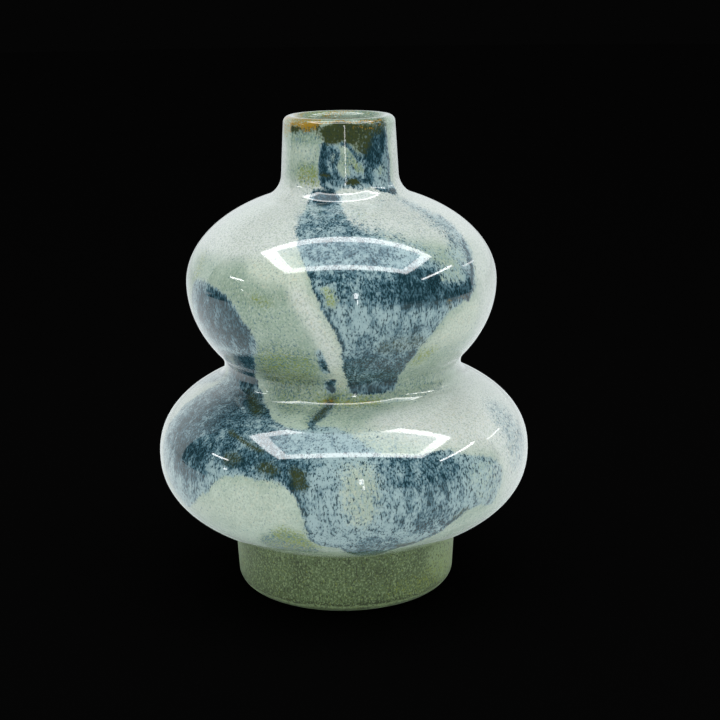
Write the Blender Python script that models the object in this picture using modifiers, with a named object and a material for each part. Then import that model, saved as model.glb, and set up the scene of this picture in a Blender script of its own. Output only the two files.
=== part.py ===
"""Bud vase: two glazed stoneware bulbs stacked on a round foot, with a short neck.

The clay body is made in four sections, the way a potter builds a tall closed form.
Each section has a step on its top rim that sits inside the section above it, where
the two are luted together. All four are hollow and share one open inside.

Metres, +Z up. The origin is the centre of the circle that the foot stands on.
"""

import math

import bpy
from mathutils import Vector
from mathutils.geometry import intersect_line_line_2d

NAME = "bud_vase"

# Foot, from the ground to the crease under the lower bulb
FOOT_HEIGHT = 0.0207
FOOT_BASE_RADIUS = 0.0371
FOOT_TOP_RADIUS = 0.0382
FOOT_EDGE_RADIUS = 0.0048
FOOT_CREASE_RADIUS = 0.0008

# Underside of the foot and floor of the vase
RING_WIDTH = 0.0050
RECESS_DEPTH = 0.0018
RECESS_SLOPE = 0.0015
FLOOR_THICKNESS = 0.0055
FLOOR_CORNER_RADIUS = 0.0080

# Lower bulb, about its widest circle
LOWER_RADIUS = 0.0630
LOWER_BELOW = 0.0319
LOWER_ABOVE = 0.0319
LOWER_FULLNESS = 2.23

# Waist: the radius where the two bulbs would cross, and the round hollow that softens it
WAIST_RADIUS = 0.0343
WAIST_HOLLOW_RADIUS = 0.0060

# Upper bulb, about its widest circle
UPPER_RADIUS = 0.0518
UPPER_BELOW = 0.0404
UPPER_ABOVE = 0.0318
UPPER_FULLNESS = 2.0

# Neck and lip
NECK_BASE_RADIUS = 0.0197
NECK_TOP_RADIUS = 0.01825
NECK_HEIGHT = 0.0250
NECK_COVE_RADIUS = 0.0082
LIP_EDGE_RADIUS = 0.0023
LIP_WALL_SHARE = 0.8

# Clay wall, and the stepped rims where the sections are luted together
WALL = 0.0045
STEP_HEIGHT = 0.0015
STEP_WIDTH = 0.0016
JOINT_GAP = 0.0003

# Smoothness: facets around the vase, points on a fine outline, and how far a facet may stray
# on the outside, on the inside and on a rounded edge
STEPS_AROUND = 60
FINE_POINTS = 180
ARC_POINTS = 24
OUTSIDE_STRAY = 0.00018
INSIDE_STRAY = 0.00035
EDGE_STRAY = 0.00008
MERGE_DISTANCE = 0.00001
SHARP_ANGLE = math.radians(32)

# Colour (linear), roughness and metallic value of each section's glaze
GLAZES = {
    "foot": ((0.105, 0.155, 0.085), 0.45, 0.0),
    "lower_bulb": ((0.300, 0.395, 0.390), 0.12, 0.0),
    "upper_bulb": ((0.330, 0.430, 0.420), 0.12, 0.0),
    "neck": ((0.210, 0.260, 0.170), 0.12, 0.0),
}


def clear_scene():
    """Remove every object that is already in the file."""
    for item in list(bpy.data.objects):
        bpy.data.objects.remove(item, do_unlink=True)


def oval_rise(radius, half_height, fullness, at_radius):
    """Height between an oval's widest circle and the circle of the radius at_radius on it."""
    return half_height * (1 - (at_radius / radius) ** fullness) ** (1 / fullness)


def arc(centre_radius, centre_height, reach, rise, start, end):
    """Points on an arc from the start angle to the end angle, in degrees, 0 facing outward."""
    points = []
    for i in range(ARC_POINTS + 1):
        angle = math.radians(start + (end - start) * i / ARC_POINTS)
        out, up = reach * math.cos(angle), rise * math.sin(angle)
        points.append(Vector((centre_radius + out, centre_height + up)))
    return points


def bulb_outline(radius, below, above, fullness, centre):
    """Half section of a bulb, from its bottom on the axis to its top on the axis."""
    points = []
    for i in range(FINE_POINTS + 1):
        angle = math.radians(-90 + 180 * i / FINE_POINTS)
        half_height = above if angle > 0 else below
        out = max(math.cos(angle), 0.0) ** (2 / fullness)
        up = math.copysign(abs(math.sin(angle)) ** (2 / fullness), angle)
        points.append(Vector((radius * out, centre + half_height * up)))
    return points


def straight(low_radius, low, high_radius, high):
    """Fine points on a straight line, low end first."""
    start, end = Vector((low_radius, low)), Vector((high_radius, high))
    return [start.lerp(end, i / FINE_POINTS) for i in range(FINE_POINTS + 1)]


def moved_out(path, distance):
    """An upward path moved outward by a distance, square to itself."""
    moved = []
    for i, point in enumerate(path):
        ahead = path[min(i + 1, len(path) - 1)]
        behind = path[max(i - 1, 0)]
        along = (ahead - behind).normalized()
        moved.append(point + distance * Vector((along.y, -along.x)))
    return moved


def crossing(lower, upper):
    """Where two paths cross: the segment of each, and the point."""
    for i in range(len(lower) - 1):
        a, b = lower[i], lower[i + 1]
        for j in range(len(upper) - 1):
            c, d = upper[j], upper[j + 1]
            if min(c.y, d.y) > max(a.y, b.y) or max(c.y, d.y) < min(a.y, b.y):
                continue
            point = intersect_line_line_2d(a, b, c, d)
            if point is not None:
                return i, j, point
    raise ValueError("two outlines that should meet do not cross")


def hollow_join(lower, upper, radius):
    """Two upward paths joined by a hollow arc that touches both, and the height of its centre."""
    i, j, centre = crossing(moved_out(lower, radius), moved_out(upper, radius))
    from_lower = lower[i] - centre
    to_upper = upper[j + 1] - centre
    start = math.degrees(math.atan2(from_lower.y, from_lower.x)) % 360
    end = math.degrees(math.atan2(to_upper.y, to_upper.x)) % 360
    hollow = arc(centre.x, centre.y, radius, radius, start, end)
    return lower[:i] + hollow + upper[j + 2:], centre.y


def outline(inset):
    """Half section from the ground to the lip, moved in by inset, with its seam heights.

    The wall of the foot and the neck, both bulbs and all three hollows take the same inset,
    so the outline of the inside follows the outside.
    """
    foot_slope = (FOOT_TOP_RADIUS - FOOT_BASE_RADIUS) / FOOT_HEIGHT
    lower_centre = FOOT_HEIGHT + oval_rise(LOWER_RADIUS, LOWER_BELOW, LOWER_FULLNESS, FOOT_TOP_RADIUS)
    waist = lower_centre + oval_rise(LOWER_RADIUS, LOWER_ABOVE, LOWER_FULLNESS, WAIST_RADIUS)
    upper_centre = waist + oval_rise(UPPER_RADIUS, UPPER_BELOW, UPPER_FULLNESS, WAIST_RADIUS)
    neck_base = upper_centre + oval_rise(UPPER_RADIUS, UPPER_ABOVE, UPPER_FULLNESS, NECK_BASE_RADIUS)
    top = neck_base + NECK_HEIGHT
    neck_slope = (NECK_TOP_RADIUS - NECK_BASE_RADIUS) / NECK_HEIGHT

    foot = straight(
        FOOT_BASE_RADIUS - inset, 0.0,
        FOOT_BASE_RADIUS - inset + foot_slope * lower_centre, lower_centre,
    )
    lower = bulb_outline(
        LOWER_RADIUS - inset, LOWER_BELOW - inset, LOWER_ABOVE - inset, LOWER_FULLNESS, lower_centre
    )
    upper = bulb_outline(
        UPPER_RADIUS - inset, UPPER_BELOW - inset, UPPER_ABOVE - inset, UPPER_FULLNESS, upper_centre
    )
    neck = straight(
        NECK_TOP_RADIUS - inset - neck_slope * (top - upper_centre), upper_centre,
        NECK_TOP_RADIUS - inset, top,
    )
    path, _ = hollow_join(foot, lower, FOOT_CREASE_RADIUS + inset)
    path, waist_seam = hollow_join(path, upper, WAIST_HOLLOW_RADIUS + inset)
    path, neck_seam = hollow_join(path, neck, NECK_COVE_RADIUS + inset)
    return path, {"foot": FOOT_HEIGHT, "waist": waist_seam, "neck": neck_seam, "top": top}


OUTSIDE, SEAMS = outline(0.0)
INSIDE, _ = outline(WALL)


def radius_at(path, height):
    """Radius of an upward path at a height."""
    for a, b in zip(path, path[1:]):
        if a.y <= height <= b.y:
            return a.lerp(b, (height - a.y) / (b.y - a.y)).x
    raise ValueError("the outline does not reach this height")


def thinned(path, stray):
    """The fewest points that keep a fine path within a distance of its shape."""
    if len(path) < 3:
        return path
    first, last = path[0], path[-1]
    along = (last - first).normalized()
    strays = [abs(along.cross(point - first)) for point in path[1:-1]]
    worst = max(strays)
    if worst <= stray:
        return [first, last]
    split = strays.index(worst) + 1
    return thinned(path[:split + 1], stray)[:-1] + thinned(path[split:], stray)


def between(path, low, high, stray):
    """The part of an upward path between two heights, in few points.

    Its widest and narrowest circles keep a point each, so that they stay true to size.
    """
    middle = [point for point in path if low < point.y < high]
    start, end = [Vector((radius_at(path, height), height)) for height in (low, high)]
    points = [start] + middle + [end]
    few = []
    first = 0
    for i in range(1, len(points) - 1):
        if (points[i].x - points[i - 1].x) * (points[i + 1].x - points[i].x) < 0:
            few += thinned(points[first:i + 1], stray)[:-1]
            first = i
    return few + thinned(points[first:], stray)


def step_radius(seam):
    """Outer radius of the step on the inner side of a rim, STEP_WIDTH wide where it is thinnest."""
    inner = max(radius_at(INSIDE, seam), radius_at(INSIDE, seam + STEP_HEIGHT))
    return inner + STEP_WIDTH


def rim_step(seam):
    """The two corners of the step on top of a section, from inside to outside."""
    radius = step_radius(seam)
    return [Vector((radius, seam + STEP_HEIGHT)), Vector((radius, seam))]


def socket(seam):
    """The two corners of the recess that the step below fits, from outside to inside."""
    radius = step_radius(seam) + JOINT_GAP
    return [Vector((radius, seam + JOINT_GAP)), Vector((radius, seam + JOINT_GAP + STEP_HEIGHT))]


def foot_profile():
    """Floor, inside wall, rim step, outside wall, standing ring and recessed underside."""
    floor = RECESS_DEPTH + FLOOR_THICKNESS
    seam = SEAMS["foot"]
    corner = min(FLOOR_CORNER_RADIUS, seam - floor)
    wall = between(INSIDE, floor + corner, seam + STEP_HEIGHT, INSIDE_STRAY)
    floor_corner = arc(wall[0].x - corner, floor + corner, corner, corner, -90, 0)
    side = between(OUTSIDE, FOOT_EDGE_RADIUS, seam, OUTSIDE_STRAY)
    edge_centre = side[0].x - FOOT_EDGE_RADIUS
    edge = arc(edge_centre, FOOT_EDGE_RADIUS, FOOT_EDGE_RADIUS, FOOT_EDGE_RADIUS, 0, -90)
    ring_inner = edge_centre - RING_WIDTH
    underside = [
        Vector((ring_inner, 0.0)),
        Vector((ring_inner - RECESS_SLOPE, RECESS_DEPTH)),
        Vector((0.0, RECESS_DEPTH)),
    ]
    return (
        [Vector((0.0, floor))] + thinned(floor_corner, INSIDE_STRAY)[:-1] + wall
        + rim_step(seam) + side[::-1][:-1] + thinned(edge, EDGE_STRAY) + underside
    )


def bulb_profile(low_seam, high_seam):
    """Inside wall, rim step, outside wall and the socket that takes the step below."""
    inside = between(
        INSIDE, low_seam + JOINT_GAP + STEP_HEIGHT, high_seam + STEP_HEIGHT, INSIDE_STRAY
    )
    outside = between(OUTSIDE, low_seam + JOINT_GAP, high_seam, OUTSIDE_STRAY)
    return inside + rim_step(high_seam) + outside[::-1] + socket(low_seam)


def neck_profile():
    """Inside wall, rounded lip, outside wall and the socket that takes the step below."""
    seam = SEAMS["neck"]
    top = SEAMS["top"]
    shoulder = top - LIP_EDGE_RADIUS
    inside = between(INSIDE, seam + JOINT_GAP + STEP_HEIGHT, shoulder, INSIDE_STRAY)
    outside = between(OUTSIDE, seam + JOINT_GAP, shoulder, OUTSIDE_STRAY)
    outer_edge = min(LIP_EDGE_RADIUS, LIP_WALL_SHARE * WALL)
    inner_edge = outside[-1].x - inside[-1].x - outer_edge
    crest = outside[-1].x - outer_edge
    lip = arc(crest, shoulder, inner_edge, LIP_EDGE_RADIUS, 180, 90)
    lip += arc(crest, shoulder, outer_edge, LIP_EDGE_RADIUS, 90, 0)[1:]
    return inside[:-1] + thinned(lip, EDGE_STRAY) + outside[::-1][1:] + socket(seam)


def glaze_material(name):
    """Plain glaze of a section: colour, roughness and metallic value."""
    colour, roughness, metallic = GLAZES[name]
    material = bpy.data.materials.new(name + "_glaze")
    material.use_nodes = True
    shader = material.node_tree.nodes["Principled BSDF"]
    shader.inputs["Base Color"].default_value = (*colour, 1.0)
    shader.inputs["Roughness"].default_value = roughness
    shader.inputs["Metallic"].default_value = metallic
    material.diffuse_color = (*colour, 1.0)
    return material


def turned(name, profile, closed, collection):
    """A section turned about the Z axis from its profile, smooth apart from its corners."""
    outline_mesh = bpy.data.meshes.new(name + "_profile")
    edges = [(i, i + 1) for i in range(len(profile) - 1)]
    if closed:
        edges.append((len(profile) - 1, 0))
    outline_mesh.from_pydata([(point.x, 0.0, point.y) for point in profile], edges, [])
    section = bpy.data.objects.new(name, outline_mesh)
    collection.objects.link(section)
    screw = section.modifiers.new("turned", "SCREW")
    screw.angle = math.tau
    screw.steps = STEPS_AROUND
    screw.render_steps = STEPS_AROUND
    screw.use_merge_vertices = True
    screw.merge_threshold = MERGE_DISTANCE
    evaluated = section.evaluated_get(bpy.context.evaluated_depsgraph_get())
    mesh = bpy.data.meshes.new_from_object(evaluated)
    mesh.name = name
    mesh.shade_smooth()
    mesh.set_sharp_from_angle(angle=SHARP_ANGLE)
    section.modifiers.clear()
    section.data = mesh
    bpy.data.meshes.remove(outline_mesh)
    mesh.materials.append(glaze_material(name))
    return section


def main():
    clear_scene()
    collection = bpy.data.collections.new(NAME)
    bpy.context.scene.collection.children.link(collection)
    turned("foot", foot_profile(), False, collection)
    turned("lower_bulb", bulb_profile(SEAMS["foot"], SEAMS["waist"]), True, collection)
    turned("upper_bulb", bulb_profile(SEAMS["waist"], SEAMS["neck"]), True, collection)
    turned("neck", neck_profile(), True, collection)


main()
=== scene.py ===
"""Bud vase with a reactive glaze: a satin green foot, two glossy bulbs and a short neck.

The four clay sections are turned around the frame of the packed part. Each one carries
its glaze as washes, which are drawn on its wall by angle and height, and as grain, specks
and runs, which its material adds. Millimetres are used for the glaze, metres for the rest.
"""

import math
from collections import namedtuple

import bpy
import numpy as np
from bpy.props import FloatProperty, FloatVectorProperty, IntProperty, PointerProperty
from mathutils import Matrix, Vector
from mathutils.noise import noise_vector, seed_set

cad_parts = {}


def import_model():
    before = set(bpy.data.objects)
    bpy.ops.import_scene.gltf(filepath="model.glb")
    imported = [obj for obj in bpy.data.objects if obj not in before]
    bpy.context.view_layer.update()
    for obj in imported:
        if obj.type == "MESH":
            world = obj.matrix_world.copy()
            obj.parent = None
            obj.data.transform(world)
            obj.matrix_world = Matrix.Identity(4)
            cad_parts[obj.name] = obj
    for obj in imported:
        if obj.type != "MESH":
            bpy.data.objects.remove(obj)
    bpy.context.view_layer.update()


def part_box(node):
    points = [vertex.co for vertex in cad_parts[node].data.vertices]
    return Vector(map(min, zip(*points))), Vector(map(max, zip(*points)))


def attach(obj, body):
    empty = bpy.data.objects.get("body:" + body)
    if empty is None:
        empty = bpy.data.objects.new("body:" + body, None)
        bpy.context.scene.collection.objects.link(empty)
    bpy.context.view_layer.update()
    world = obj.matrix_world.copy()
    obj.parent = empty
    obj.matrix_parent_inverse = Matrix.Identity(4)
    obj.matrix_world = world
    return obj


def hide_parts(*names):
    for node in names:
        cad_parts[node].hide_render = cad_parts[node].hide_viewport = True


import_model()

bl_info = {
    "name": "Reactive Glaze Bud Vase",
    "version": (1, 0, 0),
    "blender": (4, 5, 0),
    "location": "View3D > Sidebar > Bud Vase",
    "description": "Turns a double gourd bud vase in four sections and glazes it",
    "category": "Object",
}

BODY = "root"
MM = 0.001
STEP_HEIGHT = 0.0015


def half_width(node):
    """Radius of a turned section of the frame."""
    low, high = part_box(node)
    return (high.x - low.x) / 2


def top_of(node):
    """Height of the highest point of a section of the frame."""
    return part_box(node)[1].z


def srgb(red, green, blue):
    """A colour given as it looks on screen, 0 to 255, as scene linear values."""
    shares = (value / 255 for value in (red, green, blue))
    return tuple(s / 12.92 if s <= 0.04045 else ((s + 0.055) / 1.055) ** 2.4 for s in shares)


def length(name, description, default):
    """A length property in metres."""
    return FloatProperty(name=name, description=description, default=default, unit="LENGTH",
                         precision=5, min=0.0)


def number(name, description, default, low=0.0, high=1000.0, **kind):
    """A number property with its limits, and its subtype where it has one."""
    return FloatProperty(name=name, description=description, default=default, min=low, max=high,
                         **kind)


def colour(name, description, default):
    """A colour property."""
    return FloatVectorProperty(name=name, description=description, default=default, size=3,
                               subtype="COLOR", min=0.0, max=1.0)


class VaseForm(bpy.types.PropertyGroup):
    """Sizes of the turned form, as the clay sections have them."""

    step_height: length("Step height", "Height of the step on each section's rim", STEP_HEIGHT)
    step_width: length("Step width", "Width of the step on each section's rim", 0.0016)
    joint_gap: length("Joint gap", "Room between a step and the section above it", 0.00005)
    foot_height: length("Foot height", "From the ground to the crease under the lower bulb",
                        top_of("foot") - STEP_HEIGHT)
    foot_base_radius: length("Foot base radius", "Foot at the ground, before its edge is rounded",
                             0.0371)
    foot_top_radius: length("Foot top radius", "Foot at the crease", 0.0382)
    foot_edge_radius: length("Foot edge radius", "Rounding of the foot's lower edge", 0.0048)
    crease_radius: length("Crease radius", "Hollow between the foot and the lower bulb", 0.0008)
    ring_width: length("Ring width", "Standing ring under the foot", 0.0050)
    recess_depth: length("Recess depth", "Recess inside the standing ring", 0.0018)
    recess_slope: length("Recess slope", "Width of the sloped side of the recess", 0.0015)
    floor_thickness: length("Floor thickness", "Clay under the water", 0.0055)
    floor_corner_radius: length("Floor corner radius", "Hollow where the floor meets the wall", 0.0080)
    lower_radius: length("Lower bulb radius", "Lower bulb at its widest", half_width("lower_bulb"))
    lower_below: length("Lower bulb, below", "Half height under its widest circle", 0.0319)
    lower_above: length("Lower bulb, above", "Half height over its widest circle", 0.0319)
    lower_fullness: number("Lower bulb fullness", "2 is an ellipse, more is fuller", 2.23, 1.5, 4.0)
    waist_radius: length("Waist radius", "Where the two bulbs' curves would cross", 0.0343)
    waist_hollow_radius: length("Waist hollow radius", "Hollow that softens the waist", 0.0060)
    upper_radius: length("Upper bulb radius", "Upper bulb at its widest", half_width("upper_bulb"))
    upper_below: length("Upper bulb, below", "Half height under its widest circle", 0.0404)
    upper_above: length("Upper bulb, above", "Half height over its widest circle", 0.0318)
    upper_fullness: number("Upper bulb fullness", "2 is an ellipse, more is fuller", 2.0, 1.5, 4.0)
    neck_base_radius: length("Neck base radius", "Where the neck leaves the upper bulb", 0.0197)
    neck_top_radius: length("Neck top radius", "Neck at the lip, before its edge is rounded", 0.01825)
    neck_height: length("Neck height", "From the upper bulb's curve to the lip", 0.0250)
    neck_cove_radius: length("Neck cove radius", "Hollow between the upper bulb and the neck", 0.0082)
    lip_edge_radius: length("Lip edge radius", "Rounding of the lip", 0.0023)
    lip_wall_share: number("Lip wall share", "Most of the wall that the outer rounding takes",
                           0.8, 0.1, 0.9)
    wall: length("Wall", "Thickness of the clay", 0.0045)
    skin: length("Skin", "How far the glaze lies inside the clay's size", 0.00004)
    steps_around: IntProperty(name="Steps around", description="Facets around the vase",
                              default=360, min=48)
    outside_spacing: length("Outside spacing", "Distance between rings on the outside", 0.0007)
    inside_spacing: length("Inside spacing", "Distance between rings on the inside", 0.0025)


class GlazeColours(bpy.types.PropertyGroup):
    """Colours of the glaze and the clay."""

    sage: colour("Sage", "Thin pale glaze", srgb(144, 167, 150))
    mint: colour("Mint", "Pale glaze where it lies thicker", srgb(179, 199, 184))
    # Milk: cloudy pale glaze, painted paler with the light that falls on the shoulders from above
    milk: colour("Milk", "Cloudy pale glaze on the shoulders", srgb(215, 222, 219))
    cream: colour("Cream", "Cream halo beside a run", srgb(207, 219, 204))
    olive: colour("Olive", "Green tint under the bulbs", srgb(98, 127, 92))
    moss: colour("Moss", "Yellow green specks", srgb(132, 148, 58))
    mist: colour("Mist", "Pale ground of a blue run", srgb(156, 184, 190))
    slate: colour("Slate", "Streaks in a blue run", srgb(66, 106, 122))
    teal: colour("Teal", "Dark specks and pooled glaze", srgb(14, 46, 54))
    ochre: colour("Ochre", "Iron at the lip and in breaks", srgb(156, 124, 36))
    sand: colour("Sand", "Warm flecks in the pale glaze", srgb(206, 205, 180))
    umber: colour("Umber", "Dark olive under the lip", srgb(58, 68, 38))
    lining: colour("Lining", "Glaze inside the vase", srgb(184, 194, 172))
    foot_green: colour("Foot green", "Satin glaze of the foot", srgb(90, 111, 70))
    # Foot light also paints the foot's pale edge line and paler sides, partly painted highlight and sheen
    foot_light: colour("Foot light", "Pale mottle of the foot", srgb(134, 156, 112))
    foot_dark: colour("Foot dark", "Dark mottle of the foot", srgb(54, 66, 38))
    clay: colour("Clay", "Bare fired clay of the standing ring", srgb(190, 172, 146))
    clay_grit: colour("Clay grit", "Grit in the bare clay", srgb(118, 96, 74))


class StudioSettings(bpy.types.PropertyGroup):
    """Camera, lamps and cards."""

    focal_length: number("Focal length", "Lens on a 36 mm sensor, in millimetres", 74.045, 1.0)
    pitch: number("Pitch", "How far the camera looks down", math.radians(14.5675), -math.pi, math.pi,
                  subtype="ANGLE")
    roll: number("Roll", "Tilt of the camera about its own axis", math.radians(-0.7202), -math.pi,
                 math.pi, subtype="ANGLE")
    distance: length("Distance", "From the camera to the vase's axis", 0.50398)
    aim_height: length("Aim height", "Height on the axis that the camera looks at", 0.077193)
    side_step: length("Side step", "How far the camera stands to the right", 0.00585)
    world_light: number("World light", "Strength of the world on matt surfaces", 0.8)
    lamp_power: number("Lamp power", "Power of the overhead lamp, in watts", 4.0)
    panel_glow: number("Panel glow", "Brightness of the overhead panel in the glaze", 1.7)
    rim_glow: number("Rim glow", "Brightness of the panel's rim in the glaze", 6.8)
    panel_tint: colour("Panel tint", "Colour of the overhead panel in the glaze", (0.78, 0.91, 1.0))
    surround: colour("Surround", "What the glaze mirrors low around the vase", srgb(222, 229, 230))
    mirrored_floor: colour("Mirrored floor", "Floor in front of the vase as the glaze mirrors it",
                           srgb(168, 184, 184))
    overhead_share: number("Overhead share", "How bright the room is overhead", 0.07, high=1.0)
    front_glow: number("Front glow", "Brightness of the room behind the camera", 0.04)
    floor_tone: number("Floor tone", "How pale the floor is to the vase", 0.85, high=1.0)
    backdrop: colour("Backdrop", "What the camera sees behind and under the vase", srgb(5, 5, 5))


# The form: half sections as rows of radius and height, from the ground upward

# Steps on a bulb or a straight wall, steps on an arc, and the most that two rings turn by
FINE = 720
ARC_FINE = 96
LARGEST_TURN = math.radians(2.5)


def oval_rise(radius, half_height, fullness, at_radius):
    """Height between an oval's widest circle and the circle of the radius at_radius on it."""
    return half_height * (1 - (at_radius / radius) ** fullness) ** (1 / fullness)


def bulb_curve(radius, below, above, fullness, centre):
    """Half section of a bulb, from its bottom on the axis to its top on the axis."""
    angle = np.radians(np.linspace(-90, 90, FINE + 1))
    half_height = np.where(angle > 0, above, below)
    out = radius * np.clip(np.cos(angle), 0, None) ** (2 / fullness)
    up = half_height * np.sign(angle) * np.abs(np.sin(angle)) ** (2 / fullness)
    return np.column_stack((out, centre + up))


def straight(low_radius, low, high_radius, high):
    """Fine points on a straight wall, low end first."""
    return np.linspace((low_radius, low), (high_radius, high), FINE + 1)


def arc(centre, radius, start, end):
    """Points on an arc from the start angle to the end angle, in degrees, 0 facing outward."""
    angle = np.radians(np.linspace(start, end, ARC_FINE + 1))
    return np.asarray(centre) + radius * np.column_stack((np.cos(angle), np.sin(angle)))


def headings(path):
    """Direction of a path at each point, one unit long."""
    along = np.gradient(path, axis=0)
    return along / np.linalg.norm(along, axis=1, keepdims=True)


def outward(path):
    """Direction square to an upward path at each point, away from the axis."""
    along = headings(path)
    return np.column_stack((along[:, 1], -along[:, 0]))


def cross(a, b):
    """Turn from one direction to another."""
    return a[..., 0] * b[..., 1] - a[..., 1] * b[..., 0]


def crossing(lower, upper):
    """Where two paths cross: the segment of each, and the point."""
    p, r = lower[:-1, None], np.diff(lower, axis=0)[:, None]
    q, s = upper[None, :-1], np.diff(upper, axis=0)[None]
    turn = cross(r, s)
    turn = np.where(turn == 0, np.inf, turn)
    along_lower = cross(q - p, s) / turn
    along_upper = cross(q - p, r) / turn
    met = (along_lower >= 0) & (along_lower < 1) & (along_upper >= 0) & (along_upper < 1)
    found = np.argwhere(met & np.isfinite(turn))
    if not len(found):
        raise ValueError("two outlines that should meet do not cross")
    i, j = found[0]
    return i, j, p[i, 0] + along_lower[i, j] * r[i, 0]


def hollow_join(lower, upper, radius):
    """Two upward paths joined by a hollow arc that touches both, and the height of its centre."""
    i, j, centre = crossing(lower + radius * outward(lower), upper + radius * outward(upper))
    from_lower, to_upper = lower[i] - centre, upper[j + 1] - centre
    start = math.degrees(math.atan2(from_lower[1], from_lower[0])) % 360
    end = math.degrees(math.atan2(to_upper[1], to_upper[0])) % 360
    hollow = arc(centre, radius, start, end)
    return np.vstack((lower[:i], hollow, upper[j + 2:])), centre[1]


def outline(form, inset):
    """Half section from the ground to the lip, moved in by inset, with its seam heights."""
    foot_slope = (form.foot_top_radius - form.foot_base_radius) / form.foot_height
    lower_centre = form.foot_height + oval_rise(
        form.lower_radius, form.lower_below, form.lower_fullness, form.foot_top_radius)
    waist = lower_centre + oval_rise(
        form.lower_radius, form.lower_above, form.lower_fullness, form.waist_radius)
    upper_centre = waist + oval_rise(
        form.upper_radius, form.upper_below, form.upper_fullness, form.waist_radius)
    neck_base = upper_centre + oval_rise(
        form.upper_radius, form.upper_above, form.upper_fullness, form.neck_base_radius)
    top = neck_base + form.neck_height
    neck_slope = (form.neck_top_radius - form.neck_base_radius) / form.neck_height

    foot = straight(form.foot_base_radius - inset, 0.0,
                    form.foot_base_radius - inset + foot_slope * lower_centre, lower_centre)
    lower = bulb_curve(form.lower_radius - inset, form.lower_below - inset,
                       form.lower_above - inset, form.lower_fullness, lower_centre)
    upper = bulb_curve(form.upper_radius - inset, form.upper_below - inset,
                       form.upper_above - inset, form.upper_fullness, upper_centre)
    neck = straight(form.neck_top_radius - inset - neck_slope * (top - upper_centre), upper_centre,
                    form.neck_top_radius - inset, top)
    path, _ = hollow_join(foot, lower, form.crease_radius + inset)
    path, waist_seam = hollow_join(path, upper, form.waist_hollow_radius + inset)
    path, neck_seam = hollow_join(path, neck, form.neck_cove_radius + inset)
    return path, {"foot": form.foot_height, "waist": waist_seam, "neck": neck_seam, "top": top}


def run_along(path):
    """Distance along a path from its first point to each of its points."""
    return np.concatenate(([0.0], np.cumsum(np.linalg.norm(np.diff(path, axis=0), axis=1))))


def at_height(path, values, height):
    """Values that go with an upward path, read at one height."""
    values = np.asarray(values)
    if values.ndim == 1:
        return np.interp(height, path[:, 1], values)
    return np.array([np.interp(height, path[:, 1], column) for column in values.T])


def rings(path, low, high, spacing):
    """Rows of radius, height and outward direction between two heights, closer where it bends."""
    facing = outward(path)
    rows = np.column_stack((path, facing))
    middle = rows[(path[:, 1] > low) & (path[:, 1] < high)]
    ends = [at_height(path, rows, height) for height in (low, high)]
    rows = np.vstack((ends[0], middle, ends[1]))
    travel = np.linalg.norm(np.diff(rows[:, :2], axis=0), axis=1)
    turn = np.linalg.norm(np.diff(rows[:, 2:], axis=0), axis=1)
    need = np.concatenate(([0.0], np.cumsum(travel / spacing + turn / LARGEST_TURN)))
    at = np.linspace(0.0, need[-1], math.ceil(need[-1]) + 1)
    return np.column_stack([np.interp(at, need, column) for column in rows.T])


# Sections: closed strips of rings, travelled with the clay on the right hand side

Strip = namedtuple("Strip", "kind rows")


def flat_strip(kind, *corners):
    """Straight faces from corner to corner, square to their own travel."""
    strips = []
    for start, end in zip(corners, corners[1:]):
        along = np.subtract(end, start) / np.linalg.norm(np.subtract(end, start))
        facing = (-along[1], along[0])
        strips.append(Strip(kind, np.array([(*start, *facing), (*end, *facing)])))
    return strips


def arc_strip(kind, centre, radius, start, end, hollow=False):
    """A rounded corner from the start angle to the end angle, facing out from its centre or in."""
    points = arc(centre, radius, start, end)
    facing = (points - centre) / radius
    rows = np.column_stack((points, -facing if hollow else facing))
    keep = max(2, math.ceil(math.radians(abs(end - start)) / LARGEST_TURN))
    pick = np.linspace(0, ARC_FINE, keep + 1).round().astype(int)
    return Strip(kind, rows[pick])


def inner_strip(walls, low, high):
    """Inside wall from low to high, facing the axis."""
    rows = rings(walls.inside, low, high, walls.form.inside_spacing)
    rows[:, 2:] *= -1
    return Strip("inside", rows)


def outer_strip(walls, low, high):
    """Outside wall from high down to low."""
    return Strip("outside", rings(walls.outside, low, high, walls.form.outside_spacing)[::-1])


class Walls:
    """Both walls of the vase, and where its sections are luted together."""

    def __init__(self, form):
        self.form = form
        self.outside, self.seams = outline(form, form.skin)
        self.inside, _ = outline(form, form.wall)
        self.run = run_along(self.outside)

    def outer_radius(self, height):
        """Radius of the outside wall at a height."""
        return float(at_height(self.outside, self.outside[:, 0], height))

    def inner_radius(self, height):
        """Radius of the inside wall at a height."""
        return float(at_height(self.inside, self.inside[:, 0], height))

    def run_at(self, height):
        """Distance up the outside wall to a height. Heights over the lip count on around it."""
        top = self.outside[-1, 1]
        return np.interp(height, self.outside[:, 1], self.run) + np.clip(height - top, 0, None)

    def wall_place(self, azimuth, height):
        """Distance around the wall and up it to an angle and a height."""
        radius = np.interp(height, self.outside[:, 1], self.outside[:, 0])
        return np.column_stack((np.radians(azimuth) * radius, self.run_at(height)))

    def step_radius(self, seam):
        """Outer radius of the step on the inner side of a rim."""
        over = seam + self.form.step_height
        return max(self.inner_radius(seam), self.inner_radius(over)) + self.form.step_width

    def rim(self, seam):
        """The stepped top of a section, from the inside wall to the outside wall."""
        over = seam + self.form.step_height
        step = self.step_radius(seam)
        return flat_strip("joint", (self.inner_radius(over), over), (step, over), (step, seam),
                          (self.outer_radius(seam), seam))

    def socket(self, seam):
        """The recess that the step below fits, from the outside wall to the inside wall."""
        over = seam + self.form.step_height + self.form.joint_gap
        step = self.step_radius(seam) + self.form.joint_gap
        return flat_strip("joint", (self.outer_radius(seam), seam), (step, seam), (step, over),
                          (self.inner_radius(over), over))


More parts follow.
